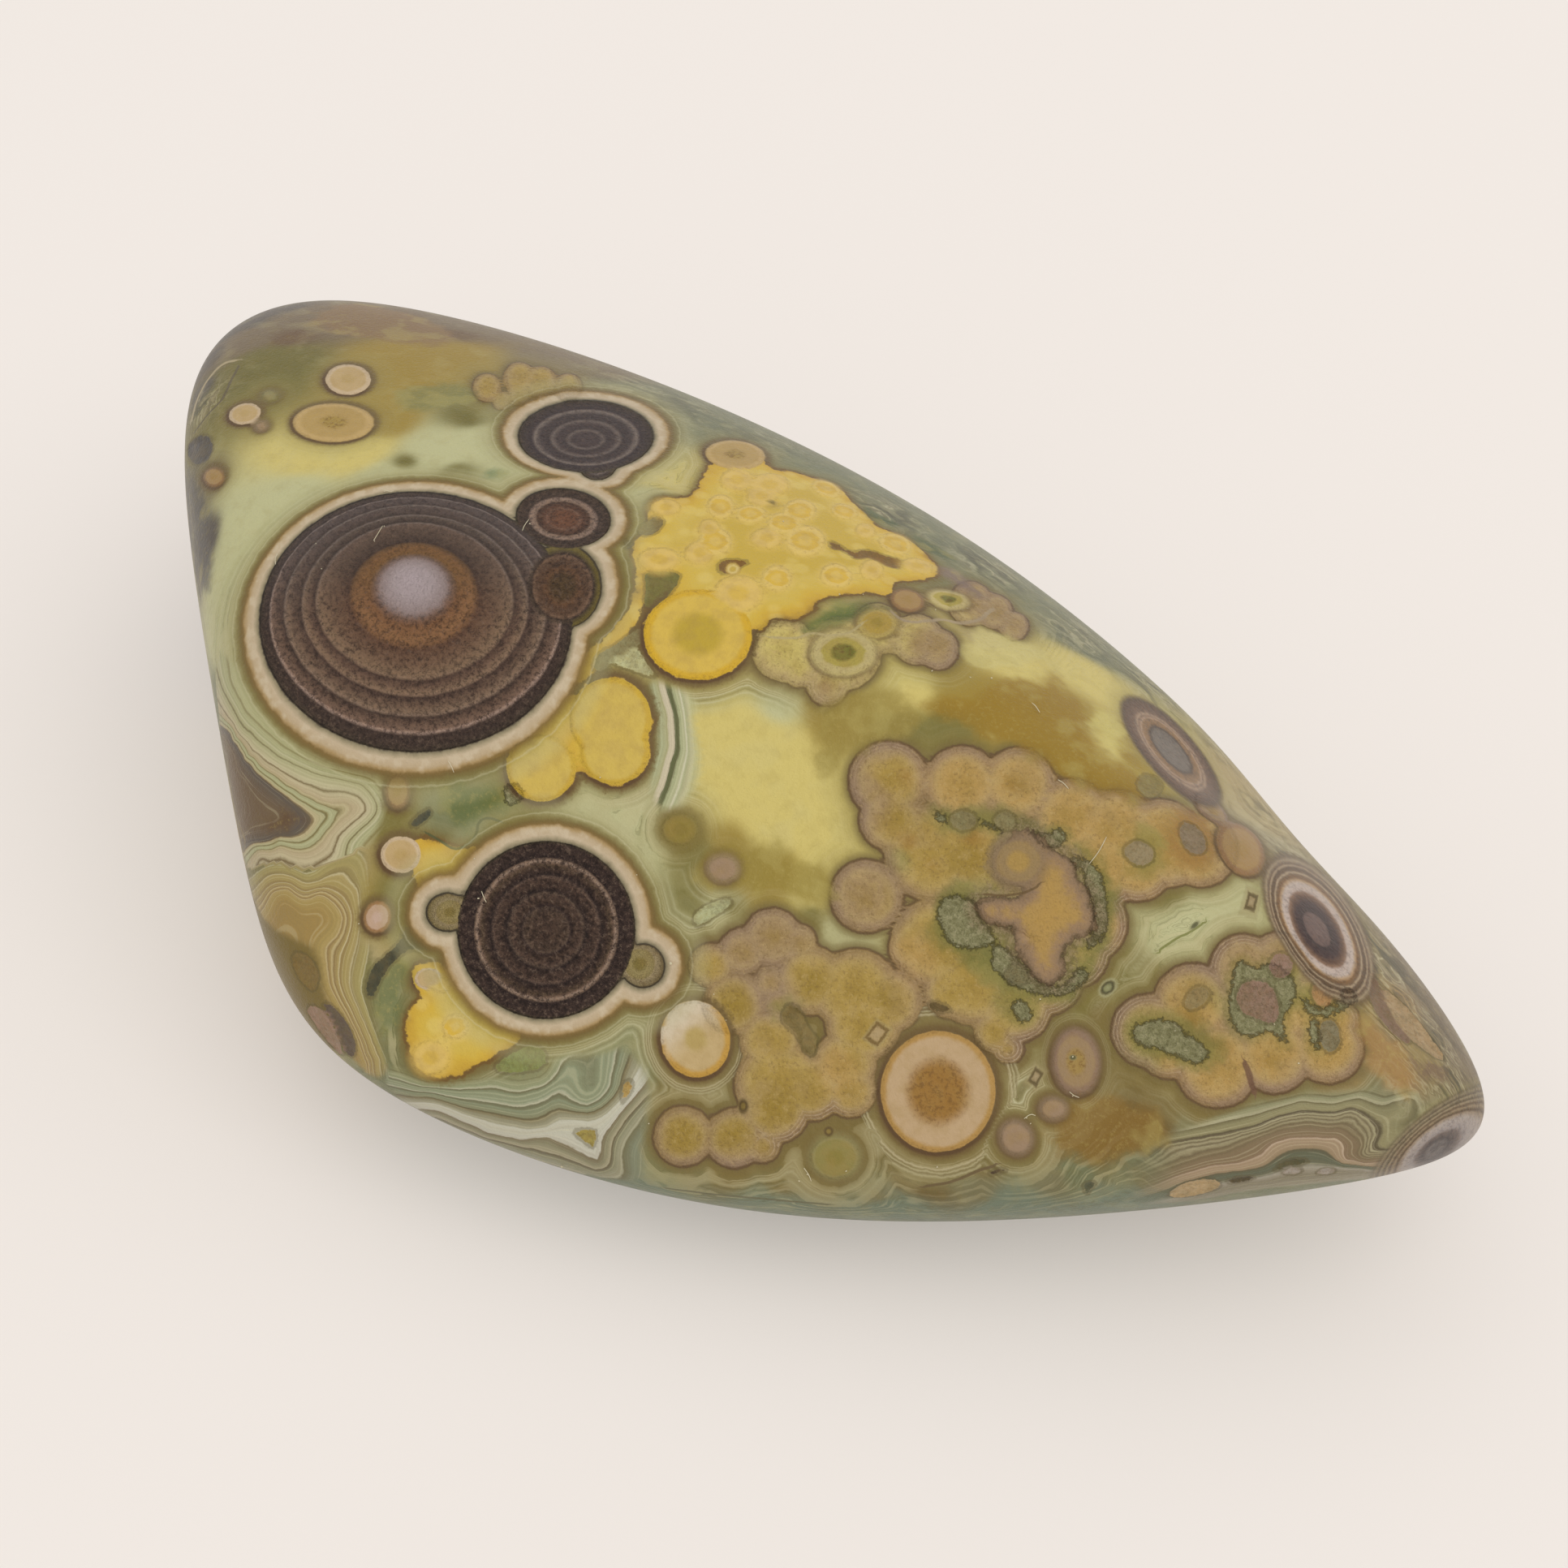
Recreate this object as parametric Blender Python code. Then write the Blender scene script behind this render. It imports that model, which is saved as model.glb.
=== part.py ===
"""A gobi agate: one natural pebble of eye agate, rounded and flattened by wind and sand.

The pebble is star-shaped about a point inside it. It starts as a stretched ball, and the
wind has worn broad flats on it. Each direction from the middle reaches the stone's skin at
the distance where the ball and the flats, blended so that their edges are rounded, meet it.
X runs along the stone towards its narrow tip, and the stone rests on z = 0.
"""

from math import cos, radians, sin

import bmesh
import bpy
import numpy as np

MM = 0.001

# The stretched ball before wear: half its length, width and height, and its turn about Z
BALL_HALF_LENGTH = 28.0 * MM
BALL_HALF_WIDTH = 12.0 * MM
BALL_HALF_HEIGHT = 7.0 * MM
BALL_TURN = radians(-5.0)

# Worn flats: bearing from +X and elevation in degrees, distance from the middle
FLATS = {
    "steep_left": (230.0, 0.0, 11.0 * MM),
    "blunt_end": (195.0, 8.0, 19.0 * MM),
    "far_slope": (54.0, 55.0, 10.1 * MM),
    "near_side": (289.0, -25.0, 11.7 * MM),
    "tip_underside": (312.0, -30.0, 12.8 * MM),
    "face": (292.0, 48.0, 6.0 * MM),
    "underside": (270.0, -85.0, 6.6 * MM),
}
# How sharply a flat meets its neighbours: the higher, the tighter the rounded edge
EDGE_SHARPNESS = 10.0

# The small flat spot that the stone rests on is worn this deep into the underside
REST_DEPTH = 0.22 * MM

# Facets of the ball: 20 * 4 ** (BALL_FINENESS - 1) triangles
BALL_FINENESS = 5

CHALCEDONY = (0.40, 0.36, 0.20, 1.0)
WAXY_ROUGHNESS = 0.34


def clear_scene():
    for leftover in list(bpy.data.objects):
        bpy.data.objects.remove(leftover, do_unlink=True)


def facing(bearing, elevation):
    """Unit vector at a bearing from +X and an elevation above the horizontal, in degrees."""
    b, e = radians(bearing), radians(elevation)
    return np.array([cos(b) * cos(e), sin(b) * cos(e), sin(e)])


def worn(ball):
    """Shrinks points of the stretched ball towards its middle, by 1 / (1 + sum(s ** p)) ** (1 / p).

    Each s is how far a point stands past one flat, as a share of that flat's distance, and
    p is the sharpness of the edges.
    """
    total = np.ones(len(ball))
    for bearing, elevation, distance in FLATS.values():
        reach = np.clip(ball @ facing(bearing, elevation) / distance, 0.0, None)
        total += reach ** EDGE_SHARPNESS
    return ball * (total ** (-1.0 / EDGE_SHARPNESS))[:, None]


def stretched_ball(unit):
    """Unit sphere points scaled to the ball's half sizes and turned about Z."""
    ball = unit * np.array([BALL_HALF_LENGTH, BALL_HALF_WIDTH, BALL_HALF_HEIGHT])
    c, s = cos(BALL_TURN), sin(BALL_TURN)
    turned = ball.copy()
    turned[:, 0] = c * ball[:, 0] - s * ball[:, 1]
    turned[:, 1] = s * ball[:, 0] + c * ball[:, 1]
    return turned


def waxy_stone():
    """Wax-like chalcedony, mustard green on the whole."""
    material = bpy.data.materials.new("waxy_agate")
    material.use_nodes = True
    shader = material.node_tree.nodes["Principled BSDF"]
    shader.inputs["Base Color"].default_value = CHALCEDONY
    shader.inputs["Roughness"].default_value = WAXY_ROUGHNESS
    shader.inputs["Metallic"].default_value = 0.0
    return material


def agate_pebble(collection):
    """The whole stone, with its resting spot cut flat at z = 0."""
    shape = bmesh.new()
    bmesh.ops.create_icosphere(shape, subdivisions=BALL_FINENESS, radius=1.0)
    shape.verts.ensure_lookup_table()
    unit = np.array([v.co for v in shape.verts])
    unit /= np.linalg.norm(unit, axis=1)[:, None]
    skin = worn(stretched_ball(unit))

    low, high = skin.min(axis=0), skin.max(axis=0)
    skin[:, :2] -= 0.5 * (low + high)[:2]
    skin[:, 2] -= low[2] + REST_DEPTH
    for vert, place in zip(shape.verts, skin):
        vert.co = place

    everything = shape.verts[:] + shape.edges[:] + shape.faces[:]
    cut = bmesh.ops.bisect_plane(
        shape, geom=everything, plane_co=(0, 0, 0), plane_no=(0, 0, -1), clear_outer=True
    )
    rim = [item for item in cut["geom_cut"] if isinstance(item, bmesh.types.BMEdge)]
    bmesh.ops.contextual_create(shape, geom=rim)
    bmesh.ops.remove_doubles(shape, verts=shape.verts[:], dist=0.005 * MM)
    bmesh.ops.recalc_face_normals(shape, faces=shape.faces[:])

    mesh = bpy.data.meshes.new("agate_pebble")
    shape.to_mesh(mesh)
    shape.free()
    mesh.materials.append(waxy_stone())
    mesh.shade_smooth()
    mesh.set_sharp_from_angle(angle=radians(25.0))
    pebble = bpy.data.objects.new("agate_pebble", mesh)
    collection.objects.link(pebble)
    return pebble


def main():
    clear_scene()
    parts = bpy.data.collections.new("gobi_agate")
    bpy.context.scene.collection.children.link(parts)
    agate_pebble(parts)


main()
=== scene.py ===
"""A gobi agate: one natural, wind-worn pebble of eye agate, lying on a plain pale floor.

The file follows the stone as it came to be: the studio that it lies in, its worn skin, and then
what has grown in the chalcedony and shows in that skin: eyes, orbs, botryoidal crust, yellow
masses, moss and fine bands. Its finish, its hookup to the root body and the loose dust come last.
"""
from math import cos, radians, sin

import bpy
import numpy as np
from mathutils import Matrix


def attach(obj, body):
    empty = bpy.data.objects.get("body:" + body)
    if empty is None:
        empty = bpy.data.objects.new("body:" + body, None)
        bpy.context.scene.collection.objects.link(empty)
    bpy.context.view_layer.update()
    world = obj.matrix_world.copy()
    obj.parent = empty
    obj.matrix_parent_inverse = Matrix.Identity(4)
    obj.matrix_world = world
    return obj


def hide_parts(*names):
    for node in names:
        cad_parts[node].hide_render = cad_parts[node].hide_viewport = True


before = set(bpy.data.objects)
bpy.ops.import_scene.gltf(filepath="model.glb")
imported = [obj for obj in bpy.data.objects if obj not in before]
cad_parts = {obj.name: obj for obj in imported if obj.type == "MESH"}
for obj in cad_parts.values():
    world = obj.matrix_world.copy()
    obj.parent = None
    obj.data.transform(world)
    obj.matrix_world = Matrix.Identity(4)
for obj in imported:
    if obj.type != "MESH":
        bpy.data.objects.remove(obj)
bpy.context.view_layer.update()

# The studio.
# A plain pale sheet that glows faintly, a painted light that lifts the shadows on it, under one
# large soft lamp, high at the front right, and an even warm surround. The camera looks down at 45
# degrees on to the broad patterned face.
PHOTO_SIZE = 1932
LENS_MM = 70.0
SENSOR_MM = 36.0
VIEW_BEARING = radians(36.0)
VIEW_RISE = radians(45.0)
AIM_MM = np.array([1.5, 1.8, 5.7])
AIM_DISTANCE_MM = 82.0
LENS_BACK = np.array([sin(VIEW_BEARING) * cos(VIEW_RISE), -cos(VIEW_BEARING) * cos(VIEW_RISE),
                      sin(VIEW_RISE)])
LENS_RIGHT = np.array([cos(VIEW_BEARING), sin(VIEW_BEARING), 0.0])
LENS_UP = np.cross(LENS_BACK, LENS_RIGHT)
LENS_PLACE = AIM_MM + LENS_BACK * AIM_DISTANCE_MM
FOCAL_PX = PHOTO_SIZE * LENS_MM / SENSOR_MM
MIDDLE_PX = PHOTO_SIZE / 2


def srgb(red, green, blue):
    """A display colour of 0 to 255 as linear light: ((c + 0.055) / 1.055) to the power 2.4, or
    c / 12.92 where it is very dark."""
    shown = np.array([red, green, blue]) / 255.0
    light = np.where(shown < 0.04045, shown / 12.92, ((shown + 0.055) / 1.055) ** 2.4)
    return tuple(float(c) for c in light)


def plain_material(name, colour, roughness):
    """A Principled finish of one colour and one roughness, for the floor and under the dust's tones."""
    material = bpy.data.materials.new(name)
    material.use_nodes = True
    shader = material.node_tree.nodes["Principled BSDF"]
    shader.inputs["Base Color"].default_value = (*colour, 1.0)
    shader.inputs["Roughness"].default_value = roughness
    return material


def grid_object(name, points, faces):
    """A mesh object at the origin from arrays of corners in millimetres and of faces."""
    mesh = bpy.data.meshes.new(name)
    mesh.from_pydata((points * 0.001).tolist(), [], faces)
    mesh.update()
    made = bpy.data.objects.new(name, mesh)
    bpy.context.scene.collection.objects.link(made)
    return made


FLOOR_HALF_MM = 1500.0
# The sheet's glow is painted light that lifts the stone's shadow on it; its colour is dimmed to match.
FLOOR_SHARE = 0.665
FLOOR_GLOW = 0.297
FLOOR_GLOW_COLOUR = (1.0, 0.955, 0.91, 1.0)
floor_corners = np.array([[-1, -1, 0], [1, -1, 0], [1, 1, 0], [-1, 1, 0]]) * FLOOR_HALF_MM
floor = grid_object("pale_floor", floor_corners, [(0, 1, 2, 3)])
pale_paper = plain_material("pale_paper", tuple(FLOOR_SHARE * c for c in srgb(237, 229, 223)), 0.9)
glow = pale_paper.node_tree.nodes["Principled BSDF"]
glow.inputs["Emission Color"].default_value = FLOOR_GLOW_COLOUR
glow.inputs["Emission Strength"].default_value = FLOOR_GLOW
floor.data.materials.append(pale_paper)

SIDE_LEVEL = 0.80
TOP_LEVEL = 0.84
TOP_RISE = 0.8
WARMTH = (1.0, 0.985, 0.965)
scene = bpy.context.scene
scene.view_settings.view_transform = "Standard"
world = bpy.data.worlds.new("soft_surround")
world.use_nodes = True
surround = world.node_tree.nodes
sky_place = surround.new("ShaderNodeTexCoord")
sky_height = surround.new("ShaderNodeSeparateXYZ")
sky = surround.new("ShaderNodeValToRGB")
for element, level in zip(sky.color_ramp.elements, (SIDE_LEVEL, TOP_LEVEL)):
    element.color = (*(level * share for share in WARMTH), 1.0)
sky.color_ramp.elements[1].position = TOP_RISE
world.node_tree.links.new(sky_place.outputs["Generated"], sky_height.inputs[0])
world.node_tree.links.new(sky_height.outputs[2], sky.inputs[0])
world.node_tree.links.new(sky.outputs[0], surround["Background"].inputs["Color"])
scene.world = world


def look_at(thing, place_mm, aim_mm):
    """Puts a lamp or the camera at a place, its -Z towards the aim and its X level."""
    back = (place_mm - aim_mm) / np.linalg.norm(place_mm - aim_mm)
    right = np.cross([0.0, 0.0, 1.0], back)
    right /= np.linalg.norm(right)
    turned = np.eye(4)
    turned[:3, 0] = right
    turned[:3, 1] = np.cross(back, right)
    turned[:3, 2] = back
    turned[:3, 3] = place_mm * 0.001
    thing.matrix_world = Matrix(turned.tolist())


camera_lens = bpy.data.cameras.new("camera")
camera_lens.lens = LENS_MM
camera_lens.sensor_width = SENSOR_MM
camera_lens.clip_start = 0.005
camera = bpy.data.objects.new("camera", camera_lens)
scene.collection.objects.link(camera)
look_at(camera, LENS_PLACE, AIM_MM)
scene.camera = camera


def facing(bearing, elevation):
    """The unit vector at a bearing from +X and an elevation above the level, in degrees."""
    b, e = radians(bearing), radians(elevation)
    return np.array([cos(b) * cos(e), sin(b) * cos(e), sin(e)])


LAMP_BEARING = -18.0
LAMP_RISE = 58.0
LAMP_DISTANCE_MM = 700.0
soft_lamp = bpy.data.lights.new("key_lamp", "AREA")
soft_lamp.shape = "SQUARE"
soft_lamp.size = 0.7
soft_lamp.energy = 1.6
soft_lamp.color = (1.0, 0.985, 0.96)
key_lamp = bpy.data.objects.new("key_lamp", soft_lamp)
scene.collection.objects.link(key_lamp)
look_at(key_lamp, facing(LAMP_BEARING, LAMP_RISE) * LAMP_DISTANCE_MM, np.zeros(3))

# The worn skin.
# The pebble is solid chalcedony. Wind and sand have worn a stretched ball into broad flats with
# rounded edges, and it rests on a small flat spot. The sizes are those of the CAD part.
BALL_HALVES = np.array([28.0, 12.0, 7.0])
BALL_TURN = radians(-5.0)
FLATS = {
    "steep_left": (230.0, 0.0, 11.0),
    "blunt_end": (195.0, 8.0, 19.0),
    "far_slope": (54.0, 55.0, 10.1),
    "near_side": (289.0, -25.0, 11.7),
    "tip_underside": (312.0, -30.0, 12.8),
    "face": (292.0, 48.0, 6.0),
    "underside": (270.0, -85.0, 6.6),
}
EDGE_SHARPNESS = 10.0
HOLLOW_BEARING = 27.5
HOLLOW_ELEVATION = 7.5
HOLLOW_SHARE = 0.042
HOLLOW_SPREAD = 0.009
REST_DEPTH = 0.22
STATIONS = 300
SPOKES = 328
FACE_SIDE = radians(120.0)
HIDDEN_SIDE_SPACING = 2.3
TRIAL_STEPS = 4001


FLAT_RULES = np.array([facing(b, e) / distance for b, e, distance in FLATS.values()])


def ball_turned(points, angle):
    """The points turned about Z by the angle."""
    c, s = cos(angle), sin(angle)
    x, y, z = np.moveaxis(points, -1, 0)
    return np.stack([c * x - s * y, s * x + c * y, z], -1)


def reach(points):
    """1 on the skin and less inside: the P-norm of the ball's radius and of each flat's share,
    a little more about one bearing, where the far edge has a slight hollow."""
    ball = np.sqrt(((ball_turned(points, -BALL_TURN) / BALL_HALVES) ** 2).sum(-1))
    flats = np.clip(points @ FLAT_RULES.T, 0, None) ** EDGE_SHARPNESS
    whole = (ball ** EDGE_SHARPNESS + flats.sum(-1)) ** (1 / EDGE_SHARPNESS)
    along = (points @ facing(HOLLOW_BEARING, HOLLOW_ELEVATION)) / np.linalg.norm(points, axis=-1)
    return whole * (1 + HOLLOW_SHARE * np.exp((along - 1) / HOLLOW_SPREAD))


def skin_at(along, around):
    """The skin at two angles, from the tip's pole and about X: stretched ball over its reach."""
    unit = np.stack([np.cos(along) + 0 * around, np.sin(along) * np.cos(around),
                     np.sin(along) * np.sin(around)], -1)
    ball = ball_turned(unit * BALL_HALVES, BALL_TURN)
    return ball / reach(ball)[..., None]


def walked(points, weight=1.0):
    """The distance walked along a row of points, from 0 to 1, with some steps counted for more."""
    steps = np.linalg.norm(np.diff(points, axis=0), axis=-1) * weight
    return np.concatenate([[0.0], np.cumsum(steps)]) / steps.sum()


# Rows and columns of corners lie evenly along the skin, and further apart on the hidden side.
trial = np.linspace(0, np.pi, TRIAL_STEPS)
stations = np.interp(np.linspace(0, 1, STATIONS), walked(skin_at(trial, FACE_SIDE + 0 * trial)), trial)
trial = np.linspace(0, 2 * np.pi, 2 * TRIAL_STEPS - 1)
seen_side = 0.5 + 0.5 * np.cos(trial[:-1] - FACE_SIDE)
spacing = 1 / (1 + (HIDDEN_SIDE_SPACING - 1) * np.clip(1 - 1.5 * seen_side, 0, 1))
girth = walked(skin_at(np.pi / 2 + 0 * trial, trial), spacing)
spokes = np.interp(np.linspace(0, 1, SPOKES + 1)[:-1], girth, trial)
skin = skin_at(stations[1:-1, None], spokes[None])
ends = skin_at(np.array([0.0, np.pi]), np.zeros(2))
skin = np.concatenate([skin.reshape(-1, 3), ends])
MIDDLE = np.array([*(-0.5 * (skin.min(0) + skin.max(0))[:2]), -skin[:, 2].min() - REST_DEPTH])


def outward(points):
    """The skin's outward unit vector: the slope of the reach, by small steps along each axis."""
    step = 1e-4
    slope = np.stack([reach(points + step * axis) - reach(points - step * axis) for axis in np.eye(3)], -1)
    return slope / np.linalg.norm(slope, axis=-1, keepdims=True)


out = outward(skin)
skin = skin + MIDDLE

row = np.arange(STATIONS - 2)[:, None] * SPOKES
col = np.arange(SPOKES)[None]
here, right = row[:-1] + col, row[:-1] + (col + 1) % SPOKES
quads = np.stack([here, here + SPOKES, right + SPOKES, right], -1).reshape(-1, 4)
tip, heel = len(skin) - 2, len(skin) - 1
first, last = np.arange(SPOKES), np.arange(SPOKES) + (STATIONS - 3) * SPOKES
fans = [(tip, int(a), int(b)) for a, b in zip(first, np.roll(first, -1))]
fans += [(heel, int(b), int(a)) for a, b in zip(last, np.roll(last, -1))]
faces = quads.tolist() + fans


# Where the markings lie.
# Every marking is placed by a named pixel of the photograph, from which a line of sight is
# followed to the skin. Shapes are then measured in millimetres on the stone itself. Outlines and
# lines are rows of x, y, x, y... in these pixels.
def seen_at(points):
    """The photograph's pixels at which points of the stone show."""
    q = points - LENS_PLACE
    depth = -(q @ LENS_BACK)
    across, up = FOCAL_PX * (q @ LENS_RIGHT) / depth, FOCAL_PX * (q @ LENS_UP) / depth
    return np.stack([MIDDLE_PX + across, MIDDLE_PX - up], -1)


SIGHT_MM = np.linspace(55, 105, 201)
SIGHT_HALVINGS = 26
STONE_MIDDLE_PX = np.array([980.0, 980.0])
DRAW_IN_TRIES = 60
DRAW_IN_SHARE = 0.01


def on_skin(pixels):
    """The skin points under pixels: steps along the line of sight find where reach falls below 1,
    and that step is then halved. A pixel off the stone is first drawn in towards its middle."""
    pixels = np.atleast_2d(np.asarray(pixels, float)).copy()
    start = LENS_PLACE - MIDDLE
    found = np.zeros((len(pixels), 3))
    todo = np.arange(len(pixels))
    for _ in range(DRAW_IN_TRIES):
        p = pixels[todo] - MIDDLE_PX
        sight = (p[:, :1] * LENS_RIGHT - p[:, 1:] * LENS_UP) / FOCAL_PX - LENS_BACK
        reached = reach(start + sight * SIGHT_MM[:, None, None]) < 1
        hit = reached.any(0)
        index = np.maximum(reached.argmax(0), 1)
        low, high = SIGHT_MM[index - 1], SIGHT_MM[index]
        for _ in range(SIGHT_HALVINGS):
            half = 0.5 * (low + high)
            inside = reach(start + sight * half[:, None]) < 1
            low, high = np.where(inside, low, half), np.where(inside, half, high)
        found[todo[hit]] = (start + sight * high[:, None] + MIDDLE)[hit]
        todo = todo[~hit]
        if not len(todo):
            break
        pixels[todo] += (STONE_MIDDLE_PX - pixels[todo]) * DRAW_IN_SHARE
    return found


skin_px = seen_at(skin)
towards = LENS_PLACE - skin
towards /= np.linalg.norm(towards, axis=1, keepdims=True)
faced = (out * towards).sum(1)
in_view = faced > 0.0
beyond = 1 - np.clip((faced + 0.12) / 0.14, 0, 1)
PROBE_PX = 5.0


def rings(x, y, half_x, half_y, tilt=0.0, drift=(0.0, 0.0)):
    """The ring number s of every skin point about an ellipse seen in the photograph, 0 at its core
    and 1 on its edge, and the depth inside that edge in mm. With x the point in half axes from the
    core, |x - drift * s| = s. A point far under the ellipse's own plane is out of it, and beyond
    the limb s is at least the straight distance from the core over the mean half axis."""
    t = radians(tilt)
    turned = np.array([[cos(t), sin(t)], [-sin(t), cos(t)]])
    centre, one, two = on_skin([(x, y), *((x, y) + PROBE_PX * turned)])
    one, two = (one - centre) * half_x / PROBE_PX, (two - centre) * half_y / PROBE_PX
    normal = np.cross(one, two)
    normal /= np.linalg.norm(normal)
    size_mm = 0.5 * (np.linalg.norm(one) + np.linalg.norm(two))
    flat = (skin_px - (x, y)) @ turned.T / (half_x, half_y)
    under = 2.5 * np.clip(np.abs((skin - centre) @ normal) / size_mm - 0.7, 0, None)
    s, depth = rings_about(flat, under, np.linalg.pinv(np.stack([one, two], -1)), drift)
    past = beyond * np.clip(np.linalg.norm(skin - centre, axis=1) / size_mm - s, 0, None)
    return s + past, depth - past * size_mm


def rings_about(flat, under, dual, drift=(0.0, 0.0)):
    """The rings' rule in two half axes: s solves |x - drift * s| = s, and depth is (1 - s) over
    the slope of s on the stone."""
    k = np.array(drift)
    x = flat + k
    kx = x @ k
    s = (np.sqrt(np.maximum(kx ** 2 + (1 - k @ k) * (x ** 2).sum(1), 0)) - kx) / (1 - k @ k)
    slope = np.linalg.norm((x - k * s[:, None]) @ dual, axis=1) / np.maximum(s, 1e-6)
    s = s + under
    return s, (1 - s) / np.maximum(slope, 1e-3)


def rounded(points, closed=True, cuts=2):
    """A line from a row of x, y, x, y..., its corners cut at a quarter of each side, twice over."""
    points = np.reshape(points, (-1, 2)).astype(float)
    for _ in range(cuts):
        after = np.roll(points, -1, 0) if closed else points[1:]
        before = points if closed else points[:-1]
        cut = np.stack([0.75 * before + 0.25 * after, 0.25 * before + 0.75 * after], 1).reshape(-1, 2)
        points = cut if closed else np.concatenate([points[:1], cut, points[-1:]])
    return points


FAR_MM = 3.0


def off_line(line, closed, reach_mm=FAR_MM):
    """The distance of each skin point from a line on the skin in mm, and its side of it, 1 or -1:
    the least distance from the line's straight pieces; points out of reach keep FAR_MM."""
    line = line if not closed else np.concatenate([line, line[:1]])
    low, high = line.min(0) - reach_mm, line.max(0) + reach_mm
    near = np.nonzero(((skin > low) & (skin < high)).all(1))[0]
    best = np.full(len(skin), FAR_MM)
    side = np.zeros(len(skin))
    p = skin[near]
    least = np.full(len(near), FAR_MM)
    turn = np.zeros(len(near))
    for a, b in zip(line[:-1], line[1:]):
        ab = b - a
        t = np.clip(((p - a) @ ab) / max(ab @ ab, 1e-12), 0, 1)
        gap = p - a - t[:, None] * ab
        d = np.sqrt((gap ** 2).sum(1))
        closer = d < least - 1e-9
        least = np.where(closer, d, least)
        turn = np.where(closer, (np.cross(ab, p - a) * out[near]).sum(1), turn)
    best[near] = least
    side[near] = np.sign(turn)
    return best, side


def within(pixels_of_line):
    """True for the seen skin points whose pixel lies inside a closed line, by the crossing count."""
    a = np.asarray(pixels_of_line, float)
    near = np.nonzero(in_view & ((skin_px > a.min(0)) & (skin_px < a.max(0))).all(1))[0]
    x, y = skin_px[near].T
    odd = np.zeros(len(near), bool)
    for (x0, y0), (x1, y1) in zip(a, np.roll(a, -1, 0)):
        crosses = (y0 > y) != (y1 > y)
        rise = y1 - y0 if y1 != y0 else 1e-9
        odd ^= crosses & (x < (x1 - x0) * (y - y0) / rise + x0)
    inside = np.zeros(len(skin), bool)
    inside[near] = odd
    return inside


LIMB_SLOPE_MM = 5.0


def area(points, cuts=2, reach_mm=FAR_MM):
    """The depth inside a closed outline drawn in the photograph, in mm; less than 0 outside. Where
    the skin turns away from the lens it falls with the cosine, so that a shape closes there."""
    line = rounded(points, True, cuts)
    gap, _ = off_line(on_skin(line), True, reach_mm)
    return np.minimum(np.where(within(line), gap, -gap), LIMB_SLOPE_MM * faced)


def joined(first_depth, second_depth, blend=0.08):
    """The deeper of two depths, with the notch where the shapes meet filled over a short width."""
    mix = np.clip(0.5 + 0.5 * (first_depth - second_depth) / blend, 0, 1)
    return second_depth + (first_depth - second_depth) * mix + blend * mix * (1 - mix)


nothing = np.full(len(skin), -FAR_MM)

# The eyes.
# Where rings of chalcedony have grown about a point and the wear has cut through them, their
# edges stand as fine ridges of brown, grey and cream. Each cluster of eyes has one cream border.
# Each eye: x, y, half widths across and down, tilt in degrees, and the drift of its rings.
EYES = {
    "great": (512, 766, 192, 160, 0, (0.02, 0.35)),
    "upper": (722, 537, 83, 44, 0, (0.0, -0.1)),
    "lower": (673, 1146, 109, 109, 0, (0.0, 0.0)),
    "small": (694, 638, 58, 36, 5, (0.0, 0.0)),
    "slope": (1443, 927, 82, 28, 49, (0.05, 0.1)),
    "right": (1625, 1146, 98, 46, 58, (0.03, -0.05)),
    "tip": (1782, 1416, 116, 50, -38, (0.1, 0.2)),
}
EYE_LOBES = {
    "upper_foot": (736, 565, 26, 26),
    "brown_lobe": (693, 722, 48, 52),
    "lower_left": (552, 1124, 27, 24),
    "lower_right": (792, 1190, 27, 27),
}
eye_s, eye_in = {}, {}
for name, (x, y, half_x, half_y, tilt, drift) in EYES.items():
    eye_s[name], eye_in[name] = rings(x, y, half_x, half_y, tilt, drift)
for name, (x, y, half_x, half_y) in EYE_LOBES.items():
    eye_s[name], eye_in[name] = rings(x, y, half_x, half_y)
bordered = nothing
for name in ("great", "small", "brown_lobe", "upper", "upper_foot", "lower", "lower_left", "lower_right"):
    bordered = joined(eye_in[name], bordered, 0.06)


def step_up(x, low, high):
    """0 below low, 1 above high, and 3t^2 - 2t^3 between."""
    t = np.clip((x - low) / (high - low), 0, 1)
    return t * t * (3 - 2 * t)


GREAT_CORE_PX = np.array([508.0, 724.0])
GREAT_CREST_SHIFT = 0.045
from_core = skin_px - GREAT_CORE_PX
great_low = from_core[:, 1] / np.maximum(np.linalg.norm(from_core, axis=1), 20.0)
hump = step_up(eye_s["great"], 0.42, 0.6) * (1 - step_up(eye_s["great"], 0.92, 1.0))
eye_s["great"] = eye_s["great"] - GREAT_CREST_SHIFT * hump * (1 - step_up(great_low, 0.0, 1.0))

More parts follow.
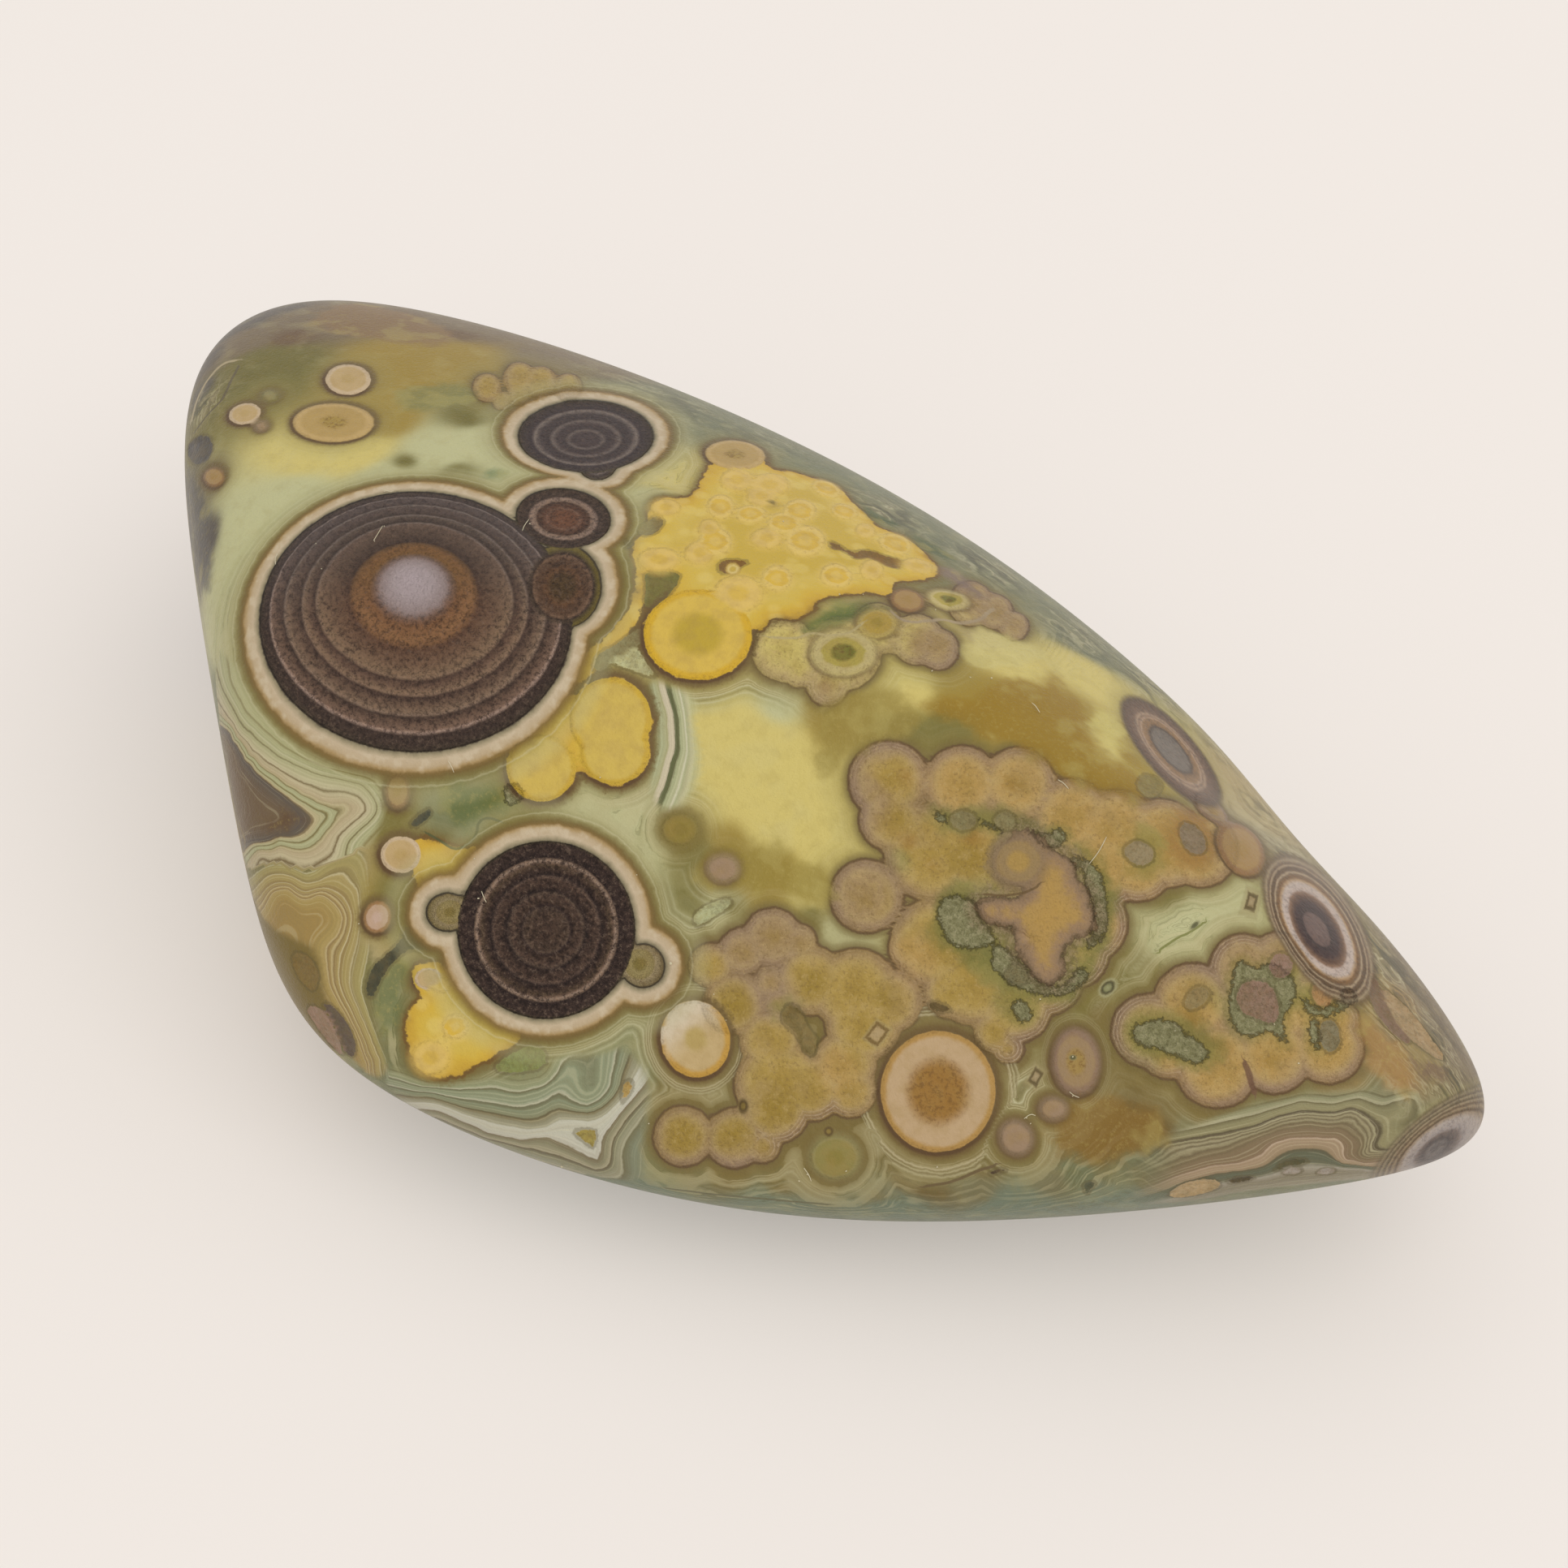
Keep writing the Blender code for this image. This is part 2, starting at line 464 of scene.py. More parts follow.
# The orbs.
# Small balls of chalcedony in the ground mass, cut across: gold, cream, amber and mauve, each
# with a rim, a middle band and a core.
# Each kind: its rim, middle and core colours, the ring numbers of its core's and its rim's edge,
# and how crisp its outer edge is.
ORB_TONES = {
    "gold": ((198, 166, 62), (202, 176, 88), (200, 174, 90), 0.30, 0.88, 1.0),
    "gold_olive": ((206, 168, 48), (208, 178, 82), (184, 158, 58), 0.46, 0.86, 1.0),
    "cream": ((200, 178, 146), (188, 162, 116), (182, 156, 104), 0.30, 0.80, 1.0),
    "pale_ring": ((216, 188, 108), (210, 176, 72), (212, 182, 94), 0.40, 0.56, 0.35),
    "pale_disc": ((214, 184, 100), (214, 184, 104), (208, 176, 82), 0.40, 0.80, 0.2),
    "hole": ((172, 148, 88), (128, 110, 52), (120, 104, 50), 0.40, 0.75, 0.6),
    "honey": ((190, 162, 108), (178, 150, 92), (164, 138, 70), 0.30, 0.80, 0.9),
    "rose": ((160, 124, 84), (186, 158, 134), (190, 164, 146), 0.40, 0.80, 0.9),
    "amber_ring": ((176, 140, 80), (186, 160, 124), (150, 112, 52), 0.53, 0.91, 1.0),
    "egg": ((190, 150, 70), (190, 166, 120), (180, 158, 100), 0.30, 0.84, 1.0),
    "brown": ((146, 114, 78), (162, 132, 86), (158, 128, 74), 0.35, 0.80, 0.8),
    "mauve": ((140, 116, 94), (152, 128, 96), (156, 130, 74), 0.40, 0.75, 0.7),
    "mauve_soft": ((150, 128, 104), (154, 130, 104), (152, 128, 100), 0.40, 0.75, 0.5),
    "green_eye": ((192, 176, 122), (174, 158, 80), (118, 116, 46), 0.40, 0.62, 0.5),
    "golden_dome": ((180, 158, 92), (176, 150, 70), (160, 138, 52), 0.35, 0.75, 0.5),
    "lobe_soft": ((188, 170, 134), (164, 148, 100), (142, 126, 70), 0.35, 0.80, 0.0),
    "mauve_gold": ((144, 122, 94), (156, 132, 92), (174, 144, 82), 0.40, 0.75, 0.1),
    "foot_soft": ((150, 142, 92), (140, 130, 74), (136, 124, 62), 0.35, 0.80, 0.2),
    "olive_soft": ((142, 128, 64), (138, 122, 54), (132, 116, 50), 0.40, 0.80, 0.0),
    "sage_soft": ((136, 128, 82), (140, 132, 88), (142, 134, 90), 0.40, 0.80, 0.3),
}
# Each orb: x, y, half widths across and down, and tilt in degrees.
ORBS = {
    "gold_olive": ((860, 782, 67, 56, 0),),
    "gold": ((752, 886, 51, 51, 0), (757, 925, 43, 42, 0), (667, 946, 43, 42, 0)),
    "honey": ((906, 561, 37, 18, 5), (411, 521, 50, 24, 0)),
    "amber_ring": ((1156, 1345, 71, 75, 0),),
    "egg": ((857, 1280, 43, 48, -12),),
    "cream": ((494, 1053, 25, 23, 0), (429, 468, 28, 19, 0), (302, 510, 20, 13, -12), (528, 1206, 17, 14, 0)),
    "rose": ((465, 1130, 17, 20, 10),),
    "brown": ((490, 975, 15, 22, 0), (264, 588, 13, 12, 0), (1118, 740, 21, 14, 12), (1528, 1047, 26, 36, -38)),
    "mauve_soft": ((322, 525, 8, 7, 0), (891, 1070, 20, 17, 0), (1298, 1366, 17, 14, 0),
        (1252, 1402, 20, 22, -30)),
    "sage_soft": ((333, 488, 11, 8, 0),),
    "pale_ring": ((888, 625, 18, 16, 0), (881, 668, 22, 18, 0), (957, 713, 20, 17, 0), (992, 667, 26, 20, 0),
        (1018, 603, 20, 10, 20), (1040, 631, 18, 10, 15), (1030, 710, 21, 16, 10), (1103, 671, 22, 13, 15),
        (925, 634, 20, 12, 0), (966, 645, 22, 14, 0), (985, 630, 22, 15, 0), (561, 1265, 18, 17, 0)),
    "pale_disc": ((874, 652, 15, 13, 0), (862, 682, 20, 16, 0), (910, 732, 32, 24, 0), (1074, 703, 16, 14, 0),
        (1130, 698, 22, 10, 12), (948, 598, 26, 15, 0), (938, 612, 20, 14, 0), (908, 592, 22, 15, 0),
        (945, 664, 22, 14, 0), (820, 626, 20, 12, 0), (812, 690, 28, 16, 0), (1066, 655, 14, 10, 10),
        (543, 1214, 14, 11, 0), (531, 1303, 25, 23, 0)),
    "hole": ((959, 598, 9, 6, 0), (938, 609, 8, 5, 0), (951, 621, 7, 4, 0)),
    "green_eye": ((1039, 806, 40, 28, 0), (1168, 740, 26, 12, 14)),
    "golden_dome": ((1080, 770, 24, 18, 0),),
    "mauve": ((1326, 1308, 30, 42, -4), (1492, 998, 12, 27, -44)),
    "olive_soft": ((838, 1022, 24, 21, 0),),
    "foot_soft": ((1029, 1426, 32, 28, 0),),
    "mauve_gold": ((1255, 1062, 35, 33, 0),),
    "lobe_soft": ((554, 1124, 21, 19, 0), (788, 1188, 24, 24, 0)),
}
ORB_CORE_EDGE = 0.4
ORB_RIM_EDGE = 0.8
orb_in = nothing
orb_s = np.full(len(skin), 2.0)
orb_rim, orb_mid, orb_core = (np.full((len(skin), 3), 0.3) for _ in range(3))
orb_crisp = np.ones(len(skin))
orb_shaded_side = np.zeros(len(skin))
orb_stroked = np.zeros(len(skin))
orb_ringed = np.zeros(len(skin))
STROKED_TONES = ("amber_ring", "green_eye", "honey", "mauve")
RINGED_TONES = {"amber_ring": 1.0, "egg": 0.8, "mauve": 0.3}


def add_orb(s, depth, tone, shaded_side=0.0):
    """Keeps the deepest orb at each point, its ring number with core and rim edges moved to
    common values, its three colours and how far the point lies on its lower side, where a shadow
    crescent is painted."""
    global orb_in, orb_s
    rim, mid, core, core_edge, rim_edge, crisp = ORB_TONES[tone]
    mine = depth > orb_in
    even = np.interp(s, [0, core_edge, rim_edge, 1, 3], [0, ORB_CORE_EDGE, ORB_RIM_EDGE, 1, 3])
    orb_in = np.maximum(depth, orb_in)
    orb_s = np.where(mine, even, orb_s)
    for colours, chosen in ((orb_rim, rim), (orb_mid, mid), (orb_core, core)):
        colours[mine] = srgb(*chosen)
    orb_crisp[mine] = crisp
    orb_stroked[mine] = tone in STROKED_TONES
    orb_ringed[mine] = RINGED_TONES.get(tone, 0.0)
    orb_shaded_side[mine] = (shaded_side + 0 * s)[mine]


# The dark edge laid on each orb's lower left side is a painted shadow crescent.
SHADED_SIDE_WAY = np.array([-0.5, 0.87])
for tone, places in ORBS.items():
    for x, y, half_x, half_y, tilt in places:
        from_middle = (skin_px - (x, y)) / (half_x, half_y)
        shaded_side = (from_middle @ SHADED_SIDE_WAY) / np.maximum(np.linalg.norm(from_middle, axis=1), 0.3)
        add_orb(*rings(x, y, half_x, half_y, tilt), tone, shaded_side)

# A painted highlight: the egg's rim and middle are whitened towards its upper left side.
EGG_PX = np.array(ORBS["egg"][0][:2])
EGG_HIGHLIGHT_WHITE = np.array(srgb(206, 192, 168))
egg_highlit_side = 1 - step_up((skin_px - EGG_PX) @ np.array([0.6, 0.8]), -36.0, 14.0)
in_egg = (orb_in > 0) & (np.abs(skin_px - EGG_PX).max(1) < 60)
for colours in (orb_rim, orb_mid):
    colours[in_egg] += egg_highlit_side[in_egg, None] * (EGG_HIGHLIGHT_WHITE - colours[in_egg])

# The botryoidal crust.
# Grape-like clusters of small domes, mauve-brown at their rims with pale growth lines inside,
# orange-beige to golden-olive further in.
# Rows of x, y, radius.
CRUST_DOMES = {
    "upper_row": (1095, 962, 50, 1098, 1010, 40, 1185, 966, 48, 1255, 966, 46, 1320, 1006, 48, 1375, 1022, 50,
        1430, 1034, 50, 1480, 1048, 46),
    "upper_middle": (1150, 1050, 62, 1205, 1050, 62, 1260, 1080, 70, 1310, 1110, 62, 1350, 1070, 55, 1402, 1068,
        44, 1442, 1058, 36, 1342, 1138, 48, 1320, 1172, 48, 1288, 1204, 48, 1250, 1238, 48, 1200, 1210, 55,
        1152, 1162, 56, 1170, 1222, 34, 1120, 1168, 26, 1226, 1272, 28, 1242, 1292, 20),
    "left_dome": (1068, 1104, 46),
    "centre": (915, 1172, 30, 952, 1155, 37, 985, 1160, 22, 950, 1210, 22, 960, 1235, 20, 877, 1190, 29, 905,
        1236, 40, 1064, 1262, 48, 1098, 1234, 40, 1055, 1222, 54, 998, 1208, 44, 950, 1282, 40, 1000, 1340, 42,
        1040, 1312, 42, 1048, 1344, 34, 960, 1335, 56, 955, 1366, 44, 940, 1412, 22, 905, 1402, 38, 842, 1400,
        38),
    "right": (1415, 1270, 46, 1470, 1236, 50, 1440, 1292, 38, 1500, 1312, 54, 1532, 1192, 42, 1577, 1187, 40,
        1560, 1240, 60, 1570, 1300, 48, 1620, 1240, 44, 1636, 1290, 46, 1650, 1258, 26),
    "shoulder": (965, 800, 40, 1040, 805, 46, 1080, 775, 32, 1130, 788, 32, 1156, 800, 26, 1020, 845, 26, 1196,
        744, 28, 985, 826, 22, 1226, 754, 22, 1250, 772, 18),
    "crown": (600, 478, 18, 640, 466, 20, 666, 472, 21, 640, 486, 15, 700, 478, 18, 618, 494, 12),
}
crust_in = nothing
dome_s = np.full(len(skin), 2.0)
for domes in CRUST_DOMES.values():
    for x, y, r in np.reshape(domes, (-1, 3)):
        s, depth = rings(x, y, r, r)
        crust_in = joined(depth, crust_in, 0.05)
        dome_s = np.minimum(dome_s, s)

STAR = (1258, 1020, 1280, 1026, 1290, 1044, 1310, 1052, 1326, 1064, 1324, 1080, 1340, 1098, 1350, 1122, 1352,
        1146, 1336, 1152, 1322, 1158, 1310, 1174, 1314, 1196, 1306, 1212, 1284, 1214, 1270, 1196, 1256, 1180,
        1250, 1160, 1248, 1146, 1236, 1142, 1218, 1140, 1206, 1132, 1200, 1116, 1214, 1104, 1240, 1106, 1262,
        1104, 1262, 1094, 1242, 1086, 1230, 1070, 1230, 1052, 1240, 1036)
star_in = area(STAR, 1)

# Yellow masses, moss and other patches.
# Flat-coloured fillings with crisp edges: iron-yellow masses about pale rings, green moss with a
# rough face, and brown slots, triangles and lenses where the last gaps have filled.
GOLD_MASSES = {
    "upper": (868, 585, 880, 565, 908, 558, 940, 562, 950, 580, 975, 580, 1005, 590, 1035, 600, 1045, 615, 1070,
        635, 1080, 650, 1105, 658, 1125, 668, 1150, 692, 1160, 708, 1130, 716, 1097, 716, 1100, 736, 1065, 729,
        1020, 736, 1005, 741, 1000, 755, 975, 766, 955, 759, 940, 775, 925, 780, 860, 740, 815, 748, 835, 706,
        780, 700, 778, 665, 803, 652, 795, 635, 812, 612, 835, 615, 855, 612),
    "between_pair": (700, 870, 720, 850, 790, 860, 803, 900, 790, 940, 757, 966, 720, 955, 700, 945),
    "left_gap": (508, 1030, 540, 1034, 560, 1045, 592, 1042, 575, 1066, 560, 1092, 540, 1096, 524, 1106, 508,
        1084),
    "low_left": (506, 1196, 515, 1188, 530, 1184, 552, 1192, 572, 1206, 600, 1236, 612, 1254, 645, 1272, 634,
        1290, 612, 1300, 580, 1318, 556, 1327, 530, 1329, 506, 1306, 500, 1272, 500, 1250, 508, 1238, 521, 1230,
        510, 1214),
    "rim_fringe": (785, 686, 797, 690, 797, 742, 770, 790, 742, 806, 728, 838, 706, 846, 700, 822, 745, 785,
        770, 760, 783, 730),
    "great_foot": (640, 900, 700, 850, 722, 862, 712, 900, 700, 930, 668, 906, 630, 920, 600, 940, 560, 948,
        600, 930),
}
gold_in = nothing
for outline in GOLD_MASSES.values():
    gold_in = np.maximum(area(outline), gold_in)
for ball in ORBS["gold_olive"] + ORBS["gold"]:
    gold_in = np.maximum(rings(*ball)[1], gold_in)

MOSS = {
    "west": (1158, 1112, 1168, 1102, 1188, 1106, 1204, 1114, 1206, 1130, 1220, 1144, 1228, 1160, 1210, 1168,
        1184, 1170, 1166, 1156, 1156, 1134),
    "north": (1148, 1003, 1156, 1000, 1166, 1004, 1168, 1014, 1156, 1012),
    "north_2": (1206, 1010, 1222, 1016, 1240, 1028, 1226, 1022, 1208, 1018),
    "north_3": (1262, 1022, 1290, 1030, 1306, 1020, 1316, 1032, 1306, 1044, 1290, 1044, 1280, 1036),
    "south": (1250, 1232, 1262, 1232, 1272, 1246, 1268, 1258, 1256, 1258, 1248, 1246),
    "east": (1318, 1054, 1334, 1058, 1342, 1066, 1332, 1072, 1322, 1066),
    "star_south": (1228, 1176, 1240, 1174, 1262, 1188, 1272, 1200, 1274, 1214, 1254, 1216, 1232, 1200, 1218,
        1188),
    "right_3": (1524, 1182, 1550, 1196, 1566, 1184, 1590, 1200, 1598, 1226, 1584, 1248, 1580, 1266, 1586, 1290,
        1566, 1268, 1540, 1280, 1520, 1268, 1514, 1240, 1518, 1210),
    "right_5": (1606, 1230, 1618, 1244, 1650, 1238, 1656, 1216, 1672, 1222, 1670, 1234, 1640, 1254, 1610, 1250),
    "right_6": (1612, 1262, 1624, 1256, 1626, 1296, 1616, 1290),
    "gap": (620, 972, 632, 964, 646, 976, 638, 990, 622, 992),
    "right_lens": (1392, 1268, 1412, 1258, 1440, 1256, 1456, 1266, 1464, 1276, 1482, 1286, 1490, 1300, 1480,
        1312, 1464, 1308, 1448, 1300, 1428, 1292, 1404, 1290),
    "star_east": (1336, 1060, 1350, 1066, 1358, 1086, 1364, 1112, 1364, 1146, 1350, 1166, 1336, 1172, 1346,
        1148, 1348, 1112, 1336, 1084),
    "star_foot": (1218, 1168, 1236, 1164, 1256, 1186, 1272, 1204, 1290, 1216, 1316, 1214, 1330, 1190, 1342,
        1196, 1334, 1214, 1304, 1228, 1264, 1222, 1236, 1206),
}
moss_in = nothing
for outline in MOSS.values():
    moss_in = np.maximum(area(outline, 1, 0.7), moss_in)

# Each patch: its colour and its outline.
PATCHES = {
    "sage_disc": ((146, 138, 98), (1168, 1008, 1180, 998, 1200, 1000, 1206, 1014, 1194, 1025, 1176, 1022)),
    "sage_disc_2": ((146, 138, 98), (1224, 1008, 1236, 998, 1250, 1002, 1252, 1018, 1240, 1026, 1226, 1020)),
    "sage_blob": ((144, 138, 104), (1236, 1200, 1250, 1186, 1264, 1194, 1268, 1208, 1252, 1216, 1240, 1210)),
    "core_disc_1": ((158, 144, 112), (1382, 1046, 1398, 1034, 1418, 1042, 1424, 1058, 1408, 1070, 1388, 1062)),
    "core_disc_2": ((148, 132, 108), (1450, 1020, 1462, 1012, 1478, 1022, 1488, 1044, 1478, 1056, 1458, 1050)),
    "right_2": ((160, 142, 98), (1456, 1240, 1466, 1220, 1480, 1212, 1492, 1222, 1488, 1236, 1470, 1246)),
    "rose_disc": ((164, 138, 120), (1522, 1226, 1532, 1208, 1556, 1206, 1574, 1222, 1578, 1246, 1570, 1264,
        1548, 1256, 1526, 1246)),
    "rose_disc_2": ((158, 132, 116), (1562, 1184, 1574, 1172, 1590, 1178, 1594, 1198, 1578, 1208, 1564, 1200)),
    "amber_disc": ((178, 142, 96), (1614, 1214, 1628, 1208, 1642, 1218, 1642, 1236, 1630, 1244, 1616, 1234)),
    "grey_disc": ((142, 134, 106), (1624, 1262, 1636, 1254, 1650, 1264, 1652, 1288, 1640, 1300, 1626, 1290)),
    "slot": ((132, 98, 44), (884, 692, 904, 688, 926, 692, 912, 698, 904, 706, 886, 708)),
    "slot_right": ((136, 104, 52), (1020, 664, 1034, 670, 1050, 682, 1066, 675, 1090, 684, 1116, 690, 1108, 702,
        1088, 696, 1068, 686, 1052, 690, 1038, 676, 1024, 678)),
    "dark_hole": ((84, 72, 46), (766, 664, 774, 660, 780, 668, 778, 678, 768, 676)),
    "olive_gap": ((122, 118, 62), (792, 704, 836, 703, 840, 712, 822, 738, 802, 754, 792, 744, 796, 720)),
    "olive_gap_3": ((138, 124, 78), (784, 650, 800, 640, 812, 632, 820, 644, 808, 658, 790, 662)),
    "olive_gap_2": ((140, 132, 92), (736, 804, 762, 792, 790, 768, 796, 790, 776, 802, 752, 816, 744, 828, 728,
        826)),
    "white_gap": ((188, 186, 142), (748, 814, 770, 800, 786, 796, 800, 820, 812, 838, 790, 830, 766, 822)),
    "black_slot": ((78, 82, 68), (502, 1016, 516, 1004, 528, 994, 534, 1002, 520, 1016, 508, 1020)),
    "dark_branch": ((76, 76, 58), (498, 1138, 508, 1142, 508, 1156, 532, 1166, 530, 1174, 506, 1168, 482, 1188,
        470, 1206, 460, 1232, 450, 1228, 452, 1206, 458, 1192, 474, 1176, 494, 1160)),
    "olive_lens": ((132, 112, 62), (358, 1176, 372, 1172, 388, 1186, 394, 1206, 386, 1224, 372, 1212, 362,
        1196)),
    "rose_lens": ((158, 132, 112), (380, 1238, 394, 1240, 408, 1258, 418, 1282, 424, 1304, 408, 1290, 390, 1266,
        378, 1248)),
    "grey_lens": ((106, 94, 82), (396, 1232, 412, 1240, 430, 1262, 440, 1290, 436, 1306, 424, 1296, 416, 1272,
        404, 1250)),
    "fill_triangle": ((168, 154, 84), (702, 1392, 732, 1391, 736, 1396, 732, 1414, 728, 1415)),
    "fill_wedge": ((178, 152, 92), (768, 1333, 774, 1330, 780, 1332, 779, 1344, 766, 1360, 765, 1356)),
    "green_tongue": ((136, 144, 88), (622, 1302, 640, 1292, 660, 1286, 674, 1298, 672, 1314, 652, 1322, 622,
        1322, 606, 1318)),
    "mint_fill": ((180, 182, 140), (852, 1130, 870, 1114, 900, 1104, 903, 1116, 880, 1130, 858, 1144)),
    "tip_slit": ((84, 70, 52), (1216, 1447, 1230, 1439, 1243, 1442, 1228, 1446)),
    "green_hole": ((92, 96, 74), (1333, 1457, 1352, 1456, 1346, 1464, 1338, 1474)),
    "dark_wedge": ((108, 90, 54), (1144, 1232, 1160, 1236, 1176, 1244, 1160, 1248, 1146, 1246)),
    "valley": ((138, 122, 76), (962, 1250, 974, 1234, 986, 1244, 1000, 1272, 1008, 1276, 1004, 1302, 994, 1300,
        984, 1278, 966, 1262)),
    "blue_black": ((82, 80, 78), (230, 548, 244, 536, 258, 536, 264, 552, 256, 568, 242, 574, 232, 566)),
    "grey_disc_3": ((144, 132, 82), (1400, 962, 1412, 952, 1430, 958, 1434, 974, 1418, 984, 1402, 976)),
    "beige_lens": ((172, 150, 116), (1702, 1214, 1726, 1232, 1760, 1272, 1784, 1308, 1768, 1304, 1734, 1278,
        1710, 1246)),
    "mauve_strip": ((136, 114, 96), (1684, 1190, 1700, 1212, 1716, 1248, 1742, 1282, 1732, 1288, 1700, 1258,
        1686, 1228)),
    "cream_lens": ((184, 162, 124), (1436, 1472, 1456, 1458, 1480, 1452, 1502, 1454, 1504, 1464, 1480, 1472,
        1450, 1477)),
    "white_lens_1": ((168, 160, 150), (1578, 1446, 1588, 1438, 1602, 1437, 1604, 1445, 1592, 1448)),
    "white_lens_2": ((168, 160, 150), (1620, 1446, 1632, 1438, 1646, 1440, 1644, 1446, 1630, 1448)),
    "green_slit": ((82, 84, 62), (1566, 1444, 1580, 1430, 1600, 1426, 1614, 1430, 1600, 1436, 1584, 1440)),
    "foot_slit": ((84, 78, 60), (1510, 1454, 1530, 1449, 1550, 1450, 1536, 1456, 1514, 1459)),
}
patch_in = nothing
patch_tone = np.full((len(skin), 3), 0.2)
for tone, outline in PATCHES.values():
    depth = area(outline, 1, 0.7)
    patch_tone[depth > patch_in] = srgb(*tone)
    patch_in = np.maximum(depth, patch_in)

# Stains: soft-edged clouds of mustard, green and brown that stand out from the ground mass, and
# one cloud of painted shade on the left flank, each with its colour and its outline.
STAINS_AND_SHADE = {
    "mustard_field": ((148, 118, 36), (1130, 866, 1160, 856, 1185, 862, 1205, 848, 1225, 840, 1250, 832, 1275,
        838, 1290, 828, 1308, 834, 1314, 852, 1332, 864, 1344, 882, 1336, 900, 1352, 914, 1364, 932, 1384, 940,
        1404, 952, 1422, 972, 1404, 992, 1370, 986, 1340, 976, 1310, 965, 1290, 946, 1262, 930, 1230, 916, 1200,
        912, 1176, 900, 1150, 888)),
    "khaki_velvet": ((148, 130, 62), (1036, 852, 1070, 842, 1116, 852, 1146, 882, 1128, 906, 1080, 914, 1046,
        934, 1016, 962, 1000, 930, 1008, 884)),
    "khaki_foot": ((148, 130, 58), (858, 1056, 896, 1030, 940, 1040, 980, 1056, 1016, 1052, 1030, 1072, 1018,
        1112, 990, 1120, 960, 1098, 930, 1104, 900, 1096, 866, 1090)),
    "green_band": ((92, 110, 52), (1000, 762, 1015, 748, 1040, 743, 1062, 741, 1086, 747, 1104, 755, 1092, 768,
        1060, 765, 1040, 771, 1010, 776, 990, 786, 984, 776)),
    "green_smear": ((128, 126, 76), (488, 488, 505, 478, 530, 474, 555, 470, 580, 476, 590, 488, 570, 498, 545,
        500, 520, 512, 500, 505)),
    "green_gap": ((98, 108, 58), (560, 958, 590, 962, 612, 958, 625, 975, 642, 990, 632, 1008, 602, 1004, 585,
        1026, 568, 1030, 558, 1010, 546, 992, 550, 970)),
    "teal_spot": ((116, 130, 92), (590, 582, 604, 575, 622, 582, 614, 591, 596, 591)),
    "brown_smudge": ((136, 108, 72), (378, 386, 430, 372, 484, 380, 534, 396, 566, 414, 540, 430, 484, 422, 430,
        414, 392, 404)),
    # flank_shade is painted shade, not a stain: dark grey where the steep left flank turns from the light.
    "flank_shade": ((92, 88, 84), (222, 560, 246, 590, 262, 640, 264, 690, 258, 744, 246, 726, 230, 660)),
    "green_edge_1": ((74, 90, 56), (1054, 618, 1080, 628, 1106, 641, 1116, 652, 1090, 647, 1064, 634)),
    "green_edge_2": ((78, 92, 60), (1118, 654, 1150, 668, 1180, 692, 1160, 689, 1134, 676)),
    "mauve_edge": ((134, 114, 104), (1150, 690, 1180, 704, 1206, 724, 1226, 744, 1206, 742, 1176, 722, 1152,
        706)),
    "green_low": ((108, 116, 72), (456, 1196, 475, 1182, 498, 1178, 508, 1200, 500, 1240, 490, 1272, 470, 1268,
        458, 1236)),
    "star_green": ((110, 112, 54), (1150, 1098, 1180, 1088, 1212, 1096, 1215, 1130, 1235, 1160, 1262, 1180,
        1290, 1190, 1325, 1190, 1345, 1160, 1350, 1130, 1345, 1070, 1322, 1044, 1344, 1040, 1374, 1070, 1382,
        1120, 1372, 1170, 1348, 1212, 1320, 1238, 1270, 1232, 1225, 1212, 1186, 1190, 1154, 1168, 1144, 1130)),
    "star_north": ((118, 116, 58), (1140, 994, 1170, 990, 1210, 996, 1250, 994, 1280, 1008, 1320, 1020, 1312,
        1044, 1270, 1036, 1240, 1030, 1206, 1026, 1160, 1022)),
    "amber": ((134, 104, 44), (1312, 1356, 1346, 1344, 1388, 1346, 1420, 1360, 1436, 1384, 1428, 1410, 1396,
        1430, 1350, 1436, 1310, 1428, 1288, 1404, 1292, 1374)),
    "triangle_brown": ((100, 76, 52), (345, 984, 370, 1000, 384, 1014, 360, 1026, 325, 1032, 316, 1020, 335,
        1005)),
    "golden_moss": ((120, 112, 52), (1470, 1250, 1500, 1262, 1512, 1284, 1494, 1306, 1468, 1312, 1440, 1304,
        1410, 1296, 1390, 1280, 1392, 1262, 1430, 1250)),
    "valley_green": ((118, 112, 52), (955, 1246, 972, 1232, 992, 1244, 1008, 1272, 1010, 1306, 990, 1304, 972,
        1276)),
    "core_ring_1": ((142, 130, 66), (1372, 1052, 1384, 1028, 1408, 1020, 1432, 1032, 1436, 1062, 1418, 1084,
        1388, 1080)),
    "core_ring_2": ((158, 120, 62), (1430, 1030, 1444, 1002, 1470, 994, 1492, 1008, 1504, 1040, 1496, 1068,
        1470, 1078, 1444, 1064)),
    "mauve_flank": ((128, 106, 84), (1730, 1282, 1756, 1288, 1782, 1316, 1790, 1340, 1764, 1340, 1740, 1318)),
    "gold_flank": ((158, 124, 74), (1668, 1250, 1700, 1264, 1732, 1294, 1748, 1334, 1720, 1344, 1688, 1326,
        1670, 1292)),
    "yellow_spot": ((182, 154, 54), (1072, 758, 1092, 752, 1110, 762, 1108, 778, 1088, 784, 1072, 776)),
    "cream_bay": ((202, 190, 126), (1196, 770, 1230, 776, 1262, 790, 1290, 806, 1270, 820, 1236, 826, 1206, 822,
        1184, 812, 1190, 790)),
    "pale_bay": ((204, 192, 118), (1340, 866, 1366, 876, 1384, 896, 1388, 922, 1372, 926, 1356, 904, 1342,
        892)),
}
stain_and_shade_in = nothing
stain_and_shade_tone = np.full((len(skin), 3), 0.2)
for tone, outline in STAINS_AND_SHADE.values():
    depth = area(outline, 1, 0.8)
    stain_and_shade_tone[depth > stain_and_shade_in] = srgb(*tone)
    stain_and_shade_in = np.maximum(depth, stain_and_shade_in)

